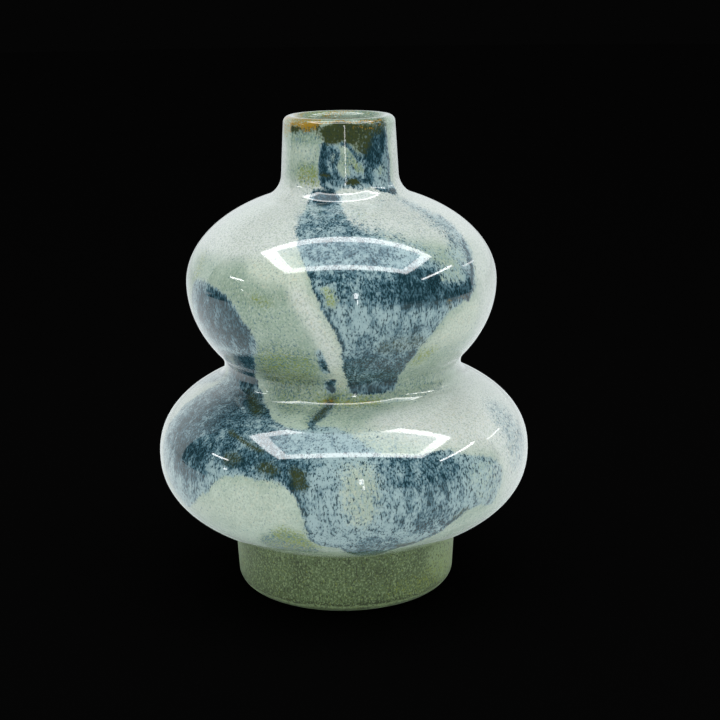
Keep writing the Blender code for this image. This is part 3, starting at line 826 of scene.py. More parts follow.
UPPER_BULB_WASHES = (
    # Milky glaze all round the shoulder, painted paler with the light that falls on it from above
    area("milk", 0.95, 4.0, (-AROUND, 140), (AROUND, 140), (AROUND, 121), (90, 119), (56, 121),
         (36, 124), (15, 127), (-10, 124), (-40, 118), (-90, 118), (-AROUND, 121)),
    area("milk", 0.7, 5.0, (60, 122), (100, 122), (100, 84), (70, 84), (60, 100)),
    area("cream", 0.85, 3.0, (-38, 121), (-16, 123), (-11, 114), (-22, 112), (-36, 115)),
    line("milk", 0.65, 3.0, 2.4, (-14, 110), (-9, 102), (-5, 95), (-3, 88)),
    line("cream", 0.95, 2.5, 2.8, (-17, 116), (-13, 109), (-8, 102), (-4, 95), (-2, 88), (-1, 80)),
    area("cream", 0.75, 2.5, (30, 90), (38, 98), (50, 104), (60, 104), (58, 92), (44, 90)),
    area("olive", 0.75, 3.5, (-37, 93), (-25, 95), (-12, 94), (-9.5, 89), (-8, 76), (-38, 76),
         (-40, 84)),
    area("olive", 0.3, 5.0, (-56, 112), (-28, 113), (-15, 106), (-16, 95), (-30, 95), (-38, 104)),
    area("olive", 0.4, 4.0, (-74, 122), (-60, 121), (-60, 110), (-72, 107)),
    area("olive", 0.28, 3.0, (27, 91), (36, 93), (52, 92), (62, 87), (66, 76), (25, 76)),
    area("moss", 0.65, 3.0, (-37, 92), (-10, 92), (-9, 80), (-36, 78)),
    # Painted shade: darker olive low on the bulb, where it turns into the waist
    area("umber", 0.22, 2.0, (-37, 84), (-10, 84), (-9, 77), (-38, 77)),
    area("moss", 0.8, 2.0, (29, 90), (34, 92), (40, 91), (36, 86), (29, 84)),
    area("moss", 0.6, 2.5, (-70, 119), (-63, 118), (-62, 110), (-68, 108)),
    line("moss", 0.7, 2.0, 1.6, (-31, 108.5), (-26, 107.5)),
    line("run", -0.35, 2.5, 2.0, (5, 115), (6, 110)),
    line("moss", 0.6, 2.0, 1.2, (5, 115), (6.5, 110)),
    line("moss", 0.6, 1.5, 1.0, (0, 116), (0.5, 113)),
    line("moss", 0.7, 1.5, 1.2, (2, 102), (3.5, 97)),
    area("moss", 0.3, 3.0, (6, 134), (22, 133), (20, 127), (8, 129)),
    # The wide run that falls from the neck to the waist, and what scatters from it
    area("run", 1.0, 1.2, (-28, 138), (-27, 136), (-25, 134), (-23, 130), (-20, 126.5), (-17, 123),
         (-13, 119), (-10.5, 116), (-8.5, 111), (-6, 106), (-3, 101), (-0.5, 97), (0.5, 93),
         (0.8, 88), (1.5, 83), (3, 79.5), (3, 76), (24, 76), (25, 80), (27, 85), (28.5, 89),
         (31, 93), (36, 98.5), (41, 102.5), (48, 104.5), (51, 106), (52.5, 110), (54, 114),
         (52, 116), (46, 116), (38, 118), (30, 121), (22, 124), (14, 126.5), (8, 128), (3, 131),
         (1, 134), (0, 136.5), (-3, 138)),
    area("run", 0.35, 3.5, (0, 137), (10, 134), (22, 130), (34, 125), (42, 119), (28, 121), (12, 126),
         (3, 130)),
    line("run", 0.35, 2.5, 1.5, (-30, 136), (-26.5, 132), (-23, 127)),
    line("run", 0.35, 2.0, 1.8, (6, 129), (20, 125), (32, 122), (44, 118.5)),
    area("run", 0.6, 3.5, (44, 118), (50, 122), (51, 128), (52, 134), (58, 136), (65, 132), (66, 125),
         (62, 119), (57, 112), (53, 106), (50, 110)),
    line("run", 0.55, 2.5, 1.6, (53, 108), (56, 113), (60, 119), (62, 124), (62, 128)),
    area("run", 0.25, 4.0, (18, 135), (56, 137), (52, 124), (32, 124)),
    area("run", -0.5, 2.2, (36, 112.5), (42, 110.5), (48, 110.5), (51, 113), (49, 117), (41, 118),
         (37, 116)),
    line("run", -0.75, 1.5, 2.2, (-4, 111.5), (-2.5, 108.5)),
    line("moss", 0.8, 1.5, 2.2, (-4, 111.5), (-2.5, 108.5)),
    # Where it gathers dark
    area("pool", 1.0, 1.4, (-25, 139), (-23.5, 135.2), (-15, 133.4), (-6, 133.6), (-1.5, 135.6),
         (-2, 139)),
    line("pool", 1.0, 1.0, 1.4, (-19, 135.6), (-6, 135.4)),
    area("pool", 0.3, 3.0, (-24, 134), (0, 134), (8, 128), (20, 124), (24, 118), (-12, 118), (-18, 126)),
    line("pool", 0.9, 1.0, 0.7, (-12, 117), (-8.5, 111), (-6, 106.5), (-3, 101.3), (-0.5, 97.3), (0.8, 93),
         (1, 88), (2, 82)),
    area("pool", 0.34, 2.0, (-10, 117), (20, 117.5), (20, 106), (4, 107.5), (-6, 107)),
    line("run", 1.0, 1.0, 0.7, (50.5, 105), (53, 109), (55.5, 113), (58, 118), (60, 121)),
    line("pool", 1.0, 1.2, 0.8, (50.5, 105), (53, 109), (55.5, 113), (58, 118), (60, 121)),
    area("pool", 0.3, 3.5, (4, 116), (22, 117), (24, 106), (12, 106)),
    line("pool", 0.8, 1.8, 1.0, (-11, 116.5), (-4, 115.5)),
    area("pool", 0.88, 2.6, (19, 116), (28, 117.5), (34, 116), (38, 114), (40, 110), (46, 110.5),
         (51, 110.5), (52, 107.5), (50, 104.8), (40, 105), (28, 104.5), (20, 106)),
    area("pool", 0.24, 3.0, (6, 101), (38, 102), (34, 97), (28, 91), (4, 91)),
    area("pool", 0.6, 1.4, (1, 91.5), (8, 93), (14, 91), (22, 92), (29, 91.5), (27, 84), (25, 76), (3, 76),
         (1.5, 84)),
    line("pool", 1.0, 1.0, 1.4, (5, 79.5), (6.5, 77.3)),
    line("pool", 1.0, 1.0, 1.2, (12, 80), (13, 78)),
    line("pool", 1.0, 1.0, 1.5, (20, 80.3), (23, 79.7)),
    line("pool", 0.8, 1.5, 1.0, (26, 90), (27, 86)),
    area("umber", 0.3, 2.0, (12, 91), (14, 95.5), (28, 97), (33, 95), (29, 91)),
    # The run at the far left
    area("run", 1.0, 2.0, (-66, 110), (-58, 110.5), (-50, 110), (-42, 107.5), (-38, 104), (-36, 100),
         (-33, 97), (-31.5, 94), (-33, 91), (-36, 88), (-39, 84), (-42, 81), (-46, 76), (-70, 76),
         (-70, 85), (-73, 92), (-71, 102)),
    area("pool", 0.7, 3.0, (-64, 109), (-46, 109), (-38, 103), (-33, 96), (-36, 90), (-60, 90),
         (-66, 100)),
    line("pool", 0.75, 2.0, 2.0, (-52, 106), (-49, 103.5)),
    line("pool", 0.5, 1.5, 1.2, (-49, 107.5), (-44, 106)),
    area("pool", 0.6, 2.0, (-44, 103), (-38, 103), (-33, 97), (-32, 93), (-38, 93), (-43, 97)),
    area("pool", 0.95, 2.2, (-70, 84), (-55, 87), (-45, 88.5), (-35, 90), (-38, 84), (-42, 80), (-46, 76),
         (-70, 76)),
    # Drops between the runs
    line("run", 1.0, 1.2, 0.9, (-8, 92), (-7, 88), (-5.5, 85)),
    line("pool", 1.0, 1.0, 0.9, (-7, 88.3), (-5.5, 86)),
    line("run", 0.45, 2.0, 1.4, (-8, 92), (-7.5, 85), (-7, 78)),
    line("run", 0.9, 1.0, 1.2, (-3.6, 80.8), (-5.2, 79.4), (-4.6, 77.6)),
    line("pool", 1.0, 0.8, 1.0, (-3.6, 80.8), (-5.2, 79.4), (-4.6, 77.8)),
    line("iron", 0.35, 0.8, 0.5, (40.5, 106), (41.5, 104)),
    line("iron", 0.3, 0.8, 0.3, (46, 105.8), (52, 106.3)),
    line("umber", 0.5, 0.8, 0.5, (40.5, 106), (41.5, 103)),
    # The side that the photo doesn't show
    area("run", 1.0, 1.6, (104, 139), (106, 130), (107, 119), (111, 108), (115, 98), (119, 89),
         (125, 85), (131, 89), (134, 98), (140, 107), (147, 114), (145, 122), (134, 126), (124, 131),
         (120, 139)),
    area("run", 0.4, 3.5, (120, 137), (134, 131), (148, 124), (150, 118), (138, 122), (126, 128)),
    line("cream", 0.8, 3.0, 2.0, (100, 122), (103, 112), (108, 101), (114, 89)),
    area("pool", 0.8, 2.5, (112, 106), (126, 104), (138, 107), (144, 113), (134, 115), (118, 112)),
    area("pool", 0.35, 3.0, (108, 128), (124, 126), (128, 118), (110, 116)),
    line("pool", 0.9, 1.0, 0.6, (106, 119), (110, 109), (114, 99), (118, 90)),
    line("pool", 0.9, 1.2, 1.8, (123, 86), (127, 86)),
    area("run", 1.0, 1.6, (184, 115), (196, 118), (208, 116), (220, 118.5), (232, 114), (238, 104),
         (233, 94), (228, 86), (223, 76), (198, 76), (196, 86), (189, 96), (184, 105)),
    area("run", 0.4, 3.0, (186, 122), (204, 124), (224, 123), (236, 116), (220, 116), (196, 114)),
    area("run", -0.5, 3.0, (204, 112), (213, 113), (219, 106), (212, 100), (205, 104)),
    area("pool", 0.8, 2.5, (186, 106), (200, 104), (208, 98), (224, 97), (234, 103), (236, 108),
         (222, 108), (205, 110), (190, 111)),
    area("pool", 0.65, 3.0, (199, 88), (224, 88), (221, 76), (200, 76)),
    area("olive", 0.85, 4.0, (144, 93), (160, 95), (180, 92), (187, 84), (184, 76), (146, 76)),
    area("moss", 0.4, 3.0, (146, 92), (180, 92), (184, 78), (148, 78)),
    area("olive", 0.6, 4.0, (244, 92), (262, 95), (280, 90), (284, 76), (244, 76)),
    area("olive", 0.5, 5.0, (70, 92), (82, 95), (96, 92), (98, 76), (68, 76)),
    line("moss", 0.7, 2.5, 2.0, (158, 108), (164, 107)),
    line("run", 0.9, 1.0, 1.4, (166, 88), (165, 84)),
    line("pool", 1.0, 1.0, 1.3, (165, 82), (166, 79)),
)

NECK_WASHES = (
    area("milk", 0.8, 1.5, (60, 156), (96, 156), (96, 136), (60, 136)),
    area("milk", 0.8, 1.5, (-96, 154), (-62, 154), (-60, 136), (-96, 136)),
    area("olive", 0.6, 1.5, (-58, 157), (-18, 157), (-18, 152), (-56, 152)),
    area("cream", 0.35, 1.5, (-58, 152), (-22, 152), (-22, 146), (-58, 146)),
    area("run", 0.26, 1.5, (-58, 157), (-17, 157), (-17, 146), (-58, 146)),
    area("run", 0.25, 1.5, (0, 151), (22, 150), (24, 143), (2, 142)),
    area("olive", 0.5, 2.0, (-48, 147), (-20, 147), (-18, 138), (-50, 138.5)),
    area("moss", 0.75, 2.0, (-46, 145), (-32, 146), (-20, 144.5), (-19, 140), (-24, 138.5),
         (-44, 139.5)),
    area("iron", 0.12, 1.5, (-42, 144), (-22, 144), (-22, 140), (-42, 140)),
    area("olive", 0.65, 1.5, (4, 150), (14, 150.5), (26, 145), (22, 143), (4, 143)),
    area("moss", 0.35, 1.5, (10, 149), (24, 146.5), (20, 144), (10, 145)),
    # Blue left of the middle, and the wide blue at the right that turns down onto the bulb
    area("run", 1.0, 0.8, (-19, 153), (-10, 153), (0, 152), (1, 148), (-1, 145), (2, 142), (5, 138),
         (-21, 138.5), (-19.5, 145)),
    area("run", -0.45, 1.2, (-9, 150.5), (-2, 150.5), (-2, 145.5), (-9, 145.5)),
    area("run", 0.8, 1.0, (1, 142.3), (14, 143), (26, 143.5), (36, 142), (36, 138), (2, 138)),
    line("run", 1.0, 0.8, 0.7, (12, 144.5), (15, 141.5)),
    line("run", 0.9, 0.8, 0.7, (1, 152.5), (7, 152.3), (14, 150.5), (21, 147.5)),
    line("pool", 0.5, 0.8, 0.7, (1, 152.5), (7, 152.3), (14, 150.5), (21, 147.5)),
    area("run", 1.0, 0.9, (20, 151), (26, 154), (32, 157.5), (44, 158.5), (55, 158), (58, 152), (58, 146),
         (57.5, 140), (61, 137), (60, 135.3), (45, 136), (36, 137.5), (30, 139.5), (26, 143),
         (22, 147)),
    area("run", -0.45, 1.2, (38, 145), (46, 146.5), (51, 144), (46, 140.8), (38, 141.8)),
    area("moss", 0.7, 1.2, (34, 146), (47, 148), (53, 145), (48, 140.5), (35, 141)),
    area("olive", 0.6, 1.2, (34, 146), (47, 148), (53, 145), (48, 140.5), (35, 141)),
    area("pool", 0.75, 0.9, (-19.5, 153), (-10.5, 153), (-10, 140), (-20, 140)),
    area("pool", 0.8, 0.8, (-19, 144.8), (-8, 144.8), (-6, 140.8), (-19, 140.8)),
    area("pool", 0.65, 1.0, (-11, 145), (2, 144), (4, 139), (-11, 139)),
    area("pool", 0.6, 1.0, (-11, 152), (0, 152), (0, 145), (-11, 145)),
    area("pool", 0.45, 1.0, (2, 142), (34, 142), (34, 139), (4, 139)),
    area("pool", 0.95, 1.1, (22, 150.5), (28, 152.5), (34, 156), (44, 157), (53, 156), (52.5, 151),
         (46, 147.5), (40, 144.8), (32, 144), (25, 146.3)),
    area("pool", 0.6, 1.0, (53, 156), (58, 156), (57, 139), (53, 139)),
    area("pool", 0.5, 1.0, (24, 145), (36, 144), (36, 139), (26, 140)),
    line("pool", 0.95, 0.8, 0.9, (37, 137.6), (46, 136.6), (57, 136.2)),
    # Dark olive and ochre at the lip
    area("umber", 0.95, 1.0, (-17, 159), (21, 159.5), (19, 154), (14, 152), (8, 152.6), (2, 153.4),
         (-2, 152.6), (-16, 152)),
    area("umber", 0.5, 1.5, (-28, 159), (-16, 159), (-16, 153.5), (-23, 155.5)),
    area("umber", 0.75, 1.8, (14, 159.5), (36, 159.5), (34, 154), (30, 151), (25, 148.5), (16, 150.5)),
    area("umber", 0.55, 1.5, (32, 159.5), (56, 159.5), (55, 155.5), (34, 154.5)),
    area("olive", 0.8, 1.5, (12, 159.5), (56, 159.5), (54, 154), (24, 150)),
    area("umber", 0.9, 0.7, (-57, 157.8), (-42, 158), (-42, 155.6), (-57, 155.4)),
    area("umber", 0.6, 0.9, (-42, 158.4), (-20, 158.6), (-20, 156.4), (-42, 155.8)),
    area("umber", 0.85, 0.7, (6, 141.2), (18, 141.4), (19, 139.2), (6, 139.2)),
    line("umber", 0.7, 0.6, 0.5, (-18, 142.8), (-10, 142.6)),
    area("iron", 0.4, 1.0, (-84, 160), (-60, 160), (-58, 155), (-68, 153.5), (-84, 154.5)),
    area("moss", 0.6, 1.0, (-84, 161), (-60, 161), (-57, 155), (-68, 153.5), (-84, 154.5)),
    area("iron", 0.85, 0.5, (-60, 158.8), (-18, 159.2), (-14, 158.5), (-36, 157.7), (-44, 157.9),
         (-58, 157.6)),
    area("iron", 0.5, 0.8, (-44, 158.5), (-19, 158.5), (-20, 156.6), (-42, 155.8)),
    line("iron", 0.6, 0.5, 0.4, (-57, 155.6), (-57, 158)),
    area("iron", 0.12, 1.0, (-AROUND, 160), (AROUND, 160), (AROUND, 164), (-AROUND, 164)),
    area("olive", 0.5, 1.0, (-AROUND, 159), (AROUND, 159), (AROUND, 164), (-AROUND, 164)),
    line("iron", 0.7, 0.6, 0.35, (-14, 159.3), (10, 159.6), (48, 159.2)),
    area("iron", 0.5, 1.0, (-64, 162), (-16, 162), (-16, 158.4), (-62, 158.2)),
    area("moss", 0.6, 1.0, (-64, 162), (-10, 162), (-12, 158.4), (-62, 158.2)),
    line("iron", 0.5, 0.6, 0.3, (14, 157.6), (46, 157.4)),
    area("iron", 0.4, 0.8, (203, 165), (222, 165), (222, 160.6), (203, 160.6)),
    area("iron", 0.35, 0.8, (187, 165), (201, 165), (201, 160.6), (187, 160.6)),
    area("moss", 0.6, 0.8, (150, 165), (200, 165), (200, 161), (150, 161)),
    area("iron", 0.35, 0.8, (134, 165), (158, 165), (158, 160.6), (134, 160.6)),
    # The side that the photo doesn't show
    area("umber", 0.9, 1.0, (104, 159.5), (210, 159.5), (204, 155), (190, 152), (172, 152.5),
         (152, 150), (132, 152), (114, 155)),
    area("run", 1.0, 0.8, (112, 155), (128, 152), (146, 150), (154, 147), (148, 141), (140, 136),
         (104, 136), (110, 145)),
    area("run", 1.0, 0.8, (196, 154), (212, 155), (226, 152), (230, 144), (226, 136), (200, 136),
         (194, 144)),
    area("pool", 0.7, 1.4, (112, 152), (128, 151), (134, 143), (124, 139), (114, 141)),
    area("pool", 0.7, 1.4, (200, 152), (214, 151), (226, 146), (222, 140), (208, 141)),
    area("moss", 0.8, 1.5, (160, 145), (176, 147), (190, 144), (186, 138), (162, 138)),
    area("iron", 0.9, 0.8, (215, 161), (280, 161), (276, 157.5), (250, 157), (222, 157.5)),
)

WASHES = FOOT_WASHES + LOWER_BULB_WASHES + UPPER_BULB_WASHES + NECK_WASHES


# Nodes: short ways to add and join shader nodes

def join(tree, value, socket):
    """Set a socket to a plain value, or link another socket to it."""
    if isinstance(value, bpy.types.NodeSocket):
        tree.links.new(value, socket)
    elif value is not None:
        socket.default_value = value


def add(tree, kind, *inputs, **settings):
    """A node of a kind, with its settings and its first inputs."""
    node = tree.nodes.new(kind)
    for name, value in settings.items():
        setattr(node, name, value)
    for value, socket in zip(inputs, node.inputs):
        join(tree, value, socket)
    return node


def calc(tree, operation, first, second=None, third=None):
    """A sum on values."""
    return add(tree, "ShaderNodeMath", first, second, third, operation=operation).outputs[0]


def scaled(tree, value, share, base=None):
    """A value times a share, and added to a base where there is one."""
    if base is None:
        return calc(tree, "MULTIPLY", value, share)
    return calc(tree, "MULTIPLY_ADD", value, share, base)


def eased(tree, value, low, high, start=0.0, end=1.0):
    """A value eased from start at low to end at high."""
    node = add(tree, "ShaderNodeMapRange", value, low, high, start, end,
               interpolation_type="SMOOTHSTEP")
    return node.outputs[0]


# Sockets of a Mix node for colours
MIX_SHARE, MIX_UNDER, MIX_OVER, MIX_COLOUR = 0, 6, 7, 2


def mixed(tree, share, under, over):
    """Two colours mixed by a share of the second."""
    node = add(tree, "ShaderNodeMix", data_type="RGBA")
    join(tree, share, node.inputs[MIX_SHARE])
    join(tree, under, node.inputs[MIX_UNDER])
    join(tree, over, node.inputs[MIX_OVER])
    return node.outputs[MIX_COLOUR]


def carried(tree, name, output="Fac"):
    """A value or vector that the mesh carries."""
    return add(tree, "ShaderNodeAttribute", attribute_name=name).outputs[output]


def new_group(name, inputs, outputs):
    """A shader node group with named sockets, and its two end nodes."""
    tree = bpy.data.node_groups.new(name, "ShaderNodeTree")
    for direction, sockets in (("INPUT", inputs), ("OUTPUT", outputs)):
        for socket, kind in sockets:
            tree.interface.new_socket(socket, in_out=direction, socket_type="NodeSocket" + kind)
    start = tree.nodes.new("NodeGroupInput")
    end = tree.nodes.new("NodeGroupOutput")
    return tree, start.outputs, end.inputs


def placed(tree, group, **values):
    """A group placed in a tree, with its inputs named by keyword."""
    node = tree.nodes.new("ShaderNodeGroup")
    node.node_tree = bpy.data.node_groups[group]
    for name, value in values.items():
        join(tree, value, node.inputs[name.replace("_", " ").capitalize()])
    return node.outputs


def rgba(value):
    """A colour property as a colour socket takes it."""
    return (*value, 1.0)


# Glaze effects, shared by the materials as node groups. Widths and lengths are in millimetres

GRAIN_DETAIL, GRAIN_ROUGHNESS = 2.0, 0.55
GRAIN_LOW, GRAIN_HIGH = 0.28, 0.72
# Width, length and seed of the grains of a run
RUN_GRAINS = {
    "cloud": (3.6, 6.5, 3.0),
    "curl": (1.5, 2.6, 11.0),
    "streak": (0.95, 3.6, 17.0),
    "speck": (0.5, 1.15, 29.0),
    "ragged": (0.6, 1.2, 41.0),
}
EDGE_HEIGHT = 0.006


def build_grain():
    """Streaked noise in the flow coordinate, from 0 to 1."""
    tree, given, result = new_group(
        "Glaze grain", (("Flow", "Vector"), ("Width", "Float"), ("Length", "Float"), ("Seed", "Float")),
        (("Grain", "Float"),))
    flow = add(tree, "ShaderNodeSeparateXYZ", given["Flow"]).outputs
    across = calc(tree, "DIVIDE", flow[0], given["Width"])
    depth = calc(tree, "DIVIDE", flow[1], given["Width"])
    along = calc(tree, "ADD", calc(tree, "DIVIDE", flow[2], given["Length"]), given["Seed"])
    place = add(tree, "ShaderNodeCombineXYZ", across, depth, along).outputs[0]
    noise = add(tree, "ShaderNodeTexNoise", noise_dimensions="3D")
    join(tree, place, noise.inputs["Vector"])
    join(tree, 1.0, noise.inputs["Scale"])
    join(tree, GRAIN_DETAIL, noise.inputs["Detail"])
    join(tree, GRAIN_ROUGHNESS, noise.inputs["Roughness"])
    spread = add(tree, "ShaderNodeMapRange", noise.outputs["Fac"], GRAIN_LOW, GRAIN_HIGH).outputs[0]
    join(tree, spread, result["Grain"])


def build_specks():
    """Specks of a tint over a colour. Amount is the share that they cover."""
    tree, given, result = new_group(
        "Glaze specks",
        (("Flow", "Vector"), ("Amount", "Float"), ("Strength", "Float"), ("Softness", "Float"),
         ("Under", "Color"), ("Tint", "Color"), ("Width", "Float"), ("Length", "Float"),
         ("Seed", "Float")),
        (("Colour", "Color"),))
    grain = placed(tree, "Glaze grain", flow=given["Flow"], width=given["Width"],
                   length=given["Length"], seed=given["Seed"])[0]
    reach = calc(tree, "SUBTRACT", 1.0, given["Amount"])
    mask = eased(tree, grain, calc(tree, "SUBTRACT", reach, given["Softness"]),
                 calc(tree, "ADD", reach, given["Softness"]))
    present = scaled(tree, eased(tree, given["Amount"], 0.0, 0.1), given["Strength"])
    mask = scaled(tree, mask, present)
    join(tree, mixed(tree, mask, given["Under"], given["Tint"]), result["Colour"])


def build_run():
    """A run of blue glaze: pale ground, streaks, dark specks and dark pools, with a ragged edge."""
    tree, given, result = new_group(
        "Glaze run",
        (("Flow", "Vector"), ("Run", "Float"), ("Pool", "Float"), ("Under", "Color"),
         ("Mist", "Color"), ("Slate", "Color"), ("Teal", "Color"), ("Fineness", "Float")),
        (("Colour", "Color"), ("Body", "Float"), ("Specks", "Float")))

    def grain(name):
        """One of the run's grains, as fine as the material asks."""
        width, tall, seed = RUN_GRAINS[name]
        return placed(tree, "Glaze grain", flow=given["Flow"],
                      width=scaled(tree, width, given["Fineness"]),
                      length=scaled(tree, tall, given["Fineness"]), seed=seed)[0]

    def wavered(value, *grains):
        """A value moved up and down by grains, each with its reach."""
        for source, reach in grains:
            value = scaled(tree, source, reach, value)
            value = calc(tree, "SUBTRACT", value, reach / 2)
        return value

    cloud, curl, streak, speck, ragged = (grain(name) for name in RUN_GRAINS)
    # The pale body, with an edge that the streaks pull about
    body = eased(tree, wavered(given["Run"], (streak, 0.3), (ragged, 0.5)), 0.22, 0.78)
    paint = mixed(tree, scaled(tree, body, 0.85), given["Under"], given["Mist"])
    # Slate streaks on it, and teal where it gathers
    tone = calc(tree, "ADD", given["Pool"], 0.29)
    tone = wavered(tone, (cloud, 0.7), (curl, 0.5), (streak, 0.35), (speck, 0.7))
    slate = scaled(tree, eased(tree, tone, 0.0, 0.9), body)
    paint = mixed(tree, scaled(tree, slate, 0.92), paint, given["Slate"])
    pooled = scaled(tree, eased(tree, tone, 0.55, 1.4), body)
    paint = mixed(tree, scaled(tree, pooled, 0.9), paint, given["Teal"])
    # Teal specks, which crowd along the edge and where the run gathers
    edge = scaled(tree, given["Run"], calc(tree, "SUBTRACT", 1.0, given["Run"]))
    crowd = scaled(tree, cloud, 0.16, 0.16)
    crowd = scaled(tree, edge, 0.45, crowd)
    crowd = scaled(tree, given["Pool"], 0.24, crowd)
    crowd = scaled(tree, crowd, eased(tree, given["Run"], 0.0, 0.8))
    over = calc(tree, "SUBTRACT", 1.0, crowd)
    specks = eased(tree, wavered(speck, (streak, 0.22), (curl, 0.2)), calc(tree, "SUBTRACT", over, 0.14),
                   calc(tree, "ADD", over, 0.1))
    specks = scaled(tree, specks, eased(tree, given["Run"], 0.02, 0.15))
    paint = mixed(tree, scaled(tree, specks, 0.8), paint, given["Teal"])
    join(tree, paint, result["Colour"])
    join(tree, body, result["Body"])
    join(tree, specks, result["Specks"])


def build_surface():
    """Height of the glaze in millimetres: soft waves, fine pitting and the edge of each run."""
    tree, given, result = new_group(
        "Glaze surface",
        (("Flow", "Vector"), ("Body", "Float"), ("Waves", "Float"), ("Pits", "Float")),
        (("Height", "Float"),))
    waves = placed(tree, "Glaze grain", flow=given["Flow"], width=9.0, length=12.0, seed=51.0)[0]
    pits = placed(tree, "Glaze grain", flow=given["Flow"], width=0.8, length=0.9, seed=63.0)[0]
    height = calc(tree, "ADD", scaled(tree, waves, given["Waves"]),
                  scaled(tree, pits, given["Pits"]))
    height = calc(tree, "ADD", height, scaled(tree, given["Body"], EDGE_HEIGHT))
    join(tree, height, result["Height"])


GROUPS = (build_grain, build_specks, build_run, build_surface)


def need_groups():
    """Build the shared effects once."""
    if "Glaze grain" not in bpy.data.node_groups:
        for build in GROUPS:
            build()


def new_material(name):
    """An empty Principled material: its tree and its shader."""
    need_groups()
    material = bpy.data.materials.new(name)
    material.use_nodes = True
    tree = material.node_tree
    return material, tree, tree.nodes["Principled BSDF"]


def raised(tree, shader, height):
    """Bump from a height in millimetres."""
    bump = add(tree, "ShaderNodeBump")
    join(tree, 1.0, bump.inputs["Strength"])
    join(tree, MM, bump.inputs["Distance"])
    join(tree, height, bump.inputs["Height"])
    join(tree, bump.outputs["Normal"], shader.inputs["Normal"])


def speckled(tree, under, tint, amount, seed, strength=1.0, softness=0.12, width=0.5, tall=0.7):
    """Specks of a tint over a colour, for a material."""
    return placed(tree, "Glaze specks", flow=carried(tree, "flow", "Vector"), amount=amount,
                  strength=strength, softness=softness, under=under, tint=tint, width=width,
                  length=tall, seed=seed)[0]


GLAZE_IOR, FOOT_IOR = 1.45, 1.5


def reactive_glaze(name, paints, mint_share, fineness):
    """Glossy reactive glaze: pale ground, green and iron tints, and blue runs."""
    material, tree, shader = new_material(name)
    flow = carried(tree, "flow", "Vector")
    layer = {name: carried(tree, name) for name in LAYERS}
    # The pale ground and its tints
    drift = placed(tree, "Glaze grain", flow=flow, width=7.0, length=10.0, seed=5.0)[0]
    ground = mixed(tree, eased(tree, drift, 0.1, 0.9, *mint_share), rgba(paints.sage), rgba(paints.mint))
    ground = mixed(tree, scaled(tree, layer["cream"], 0.95), ground, rgba(paints.cream))
    ground = mixed(tree, scaled(tree, layer["olive"], 0.9), ground, rgba(paints.olive))
    ground = mixed(tree, scaled(tree, layer["moss"], 0.25), ground, rgba(paints.moss))
    # Milky glaze, painted paler where light falls on the shoulders from above
    ground = mixed(tree, layer["milk"], ground, rgba(paints.milk))
    # Its mottle and specks
    ground = speckled(tree, ground, rgba(paints.cream), 0.4, 61.0, strength=0.4, softness=0.3,
                      width=0.7, tall=0.8)
    ground = speckled(tree, ground, rgba(paints.sage), 0.4, 71.0, strength=0.5, softness=0.2,
                      width=0.6, tall=0.7)
    sandy = scaled(tree, layer["cream"], 0.2, 0.08)
    ground = speckled(tree, ground, rgba(paints.sand), sandy, 79.0, strength=0.55, softness=0.25,
                      width=0.8, tall=0.9)
    freckles = scaled(tree, layer["olive"], 0.28, 0.17)
    dark = scaled(tree, layer["olive"], 0.4, 0.55)
    ground = speckled(tree, ground, rgba(paints.slate), freckles, 67.0, strength=dark, width=0.6,
                      tall=0.75)
    mossy = scaled(tree, layer["olive"], 0.2, layer["moss"])
    ground = speckled(tree, ground, rgba(paints.moss), scaled(tree, mossy, 0.5), 83.0,
                      strength=0.75, softness=0.15, width=0.6, tall=0.75)
    # The blue runs over it, and dark olive and iron over those
    run = placed(tree, "Glaze run", flow=flow, run=layer["run"], pool=layer["pool"], under=ground,
                 mist=rgba(paints.mist), slate=rgba(paints.slate), teal=rgba(paints.teal),
                 fineness=fineness)
    outside = mixed(tree, scaled(tree, layer["umber"], 0.75), run["Colour"], rgba(paints.umber))
    outside = speckled(tree, outside, rgba(paints.umber), layer["umber"], 97.0, strength=1.0,
                       softness=0.3, width=0.6, tall=0.9)
    outside = speckled(tree, outside, rgba(paints.teal), scaled(tree, layer["umber"], 0.38),
                       103.0, strength=0.5, softness=0.2, width=0.5, tall=0.8)
    outside = speckled(tree, outside, rgba(paints.ochre), layer["iron"], 101.0, softness=0.3,
                       width=0.5, tall=0.6)
    lining = speckled(tree, rgba(paints.lining), rgba(paints.olive), 0.35, 113.0, softness=0.35)
    lining = speckled(tree, lining, rgba(paints.ochre), 0.12, 127.0, softness=0.3)
    join(tree, mixed(tree, carried(tree, "lined"), outside, lining), shader.inputs["Base Color"])
    join(tree, eased(tree, run["Specks"], 0.0, 1.0, 0.06, 0.07), shader.inputs["Roughness"])
    height = placed(tree, "Glaze surface", flow=flow, body=run["Body"], waves=0.03, pits=0.0015)[0]
    raised(tree, shader, height)
    shader.inputs["IOR"].default_value = GLAZE_IOR
    shader.inputs["Coat Weight"].default_value = 1.0
    shader.inputs["Coat Roughness"].default_value = 0.03
    shader.inputs["Coat IOR"].default_value = GLAZE_IOR
    return material


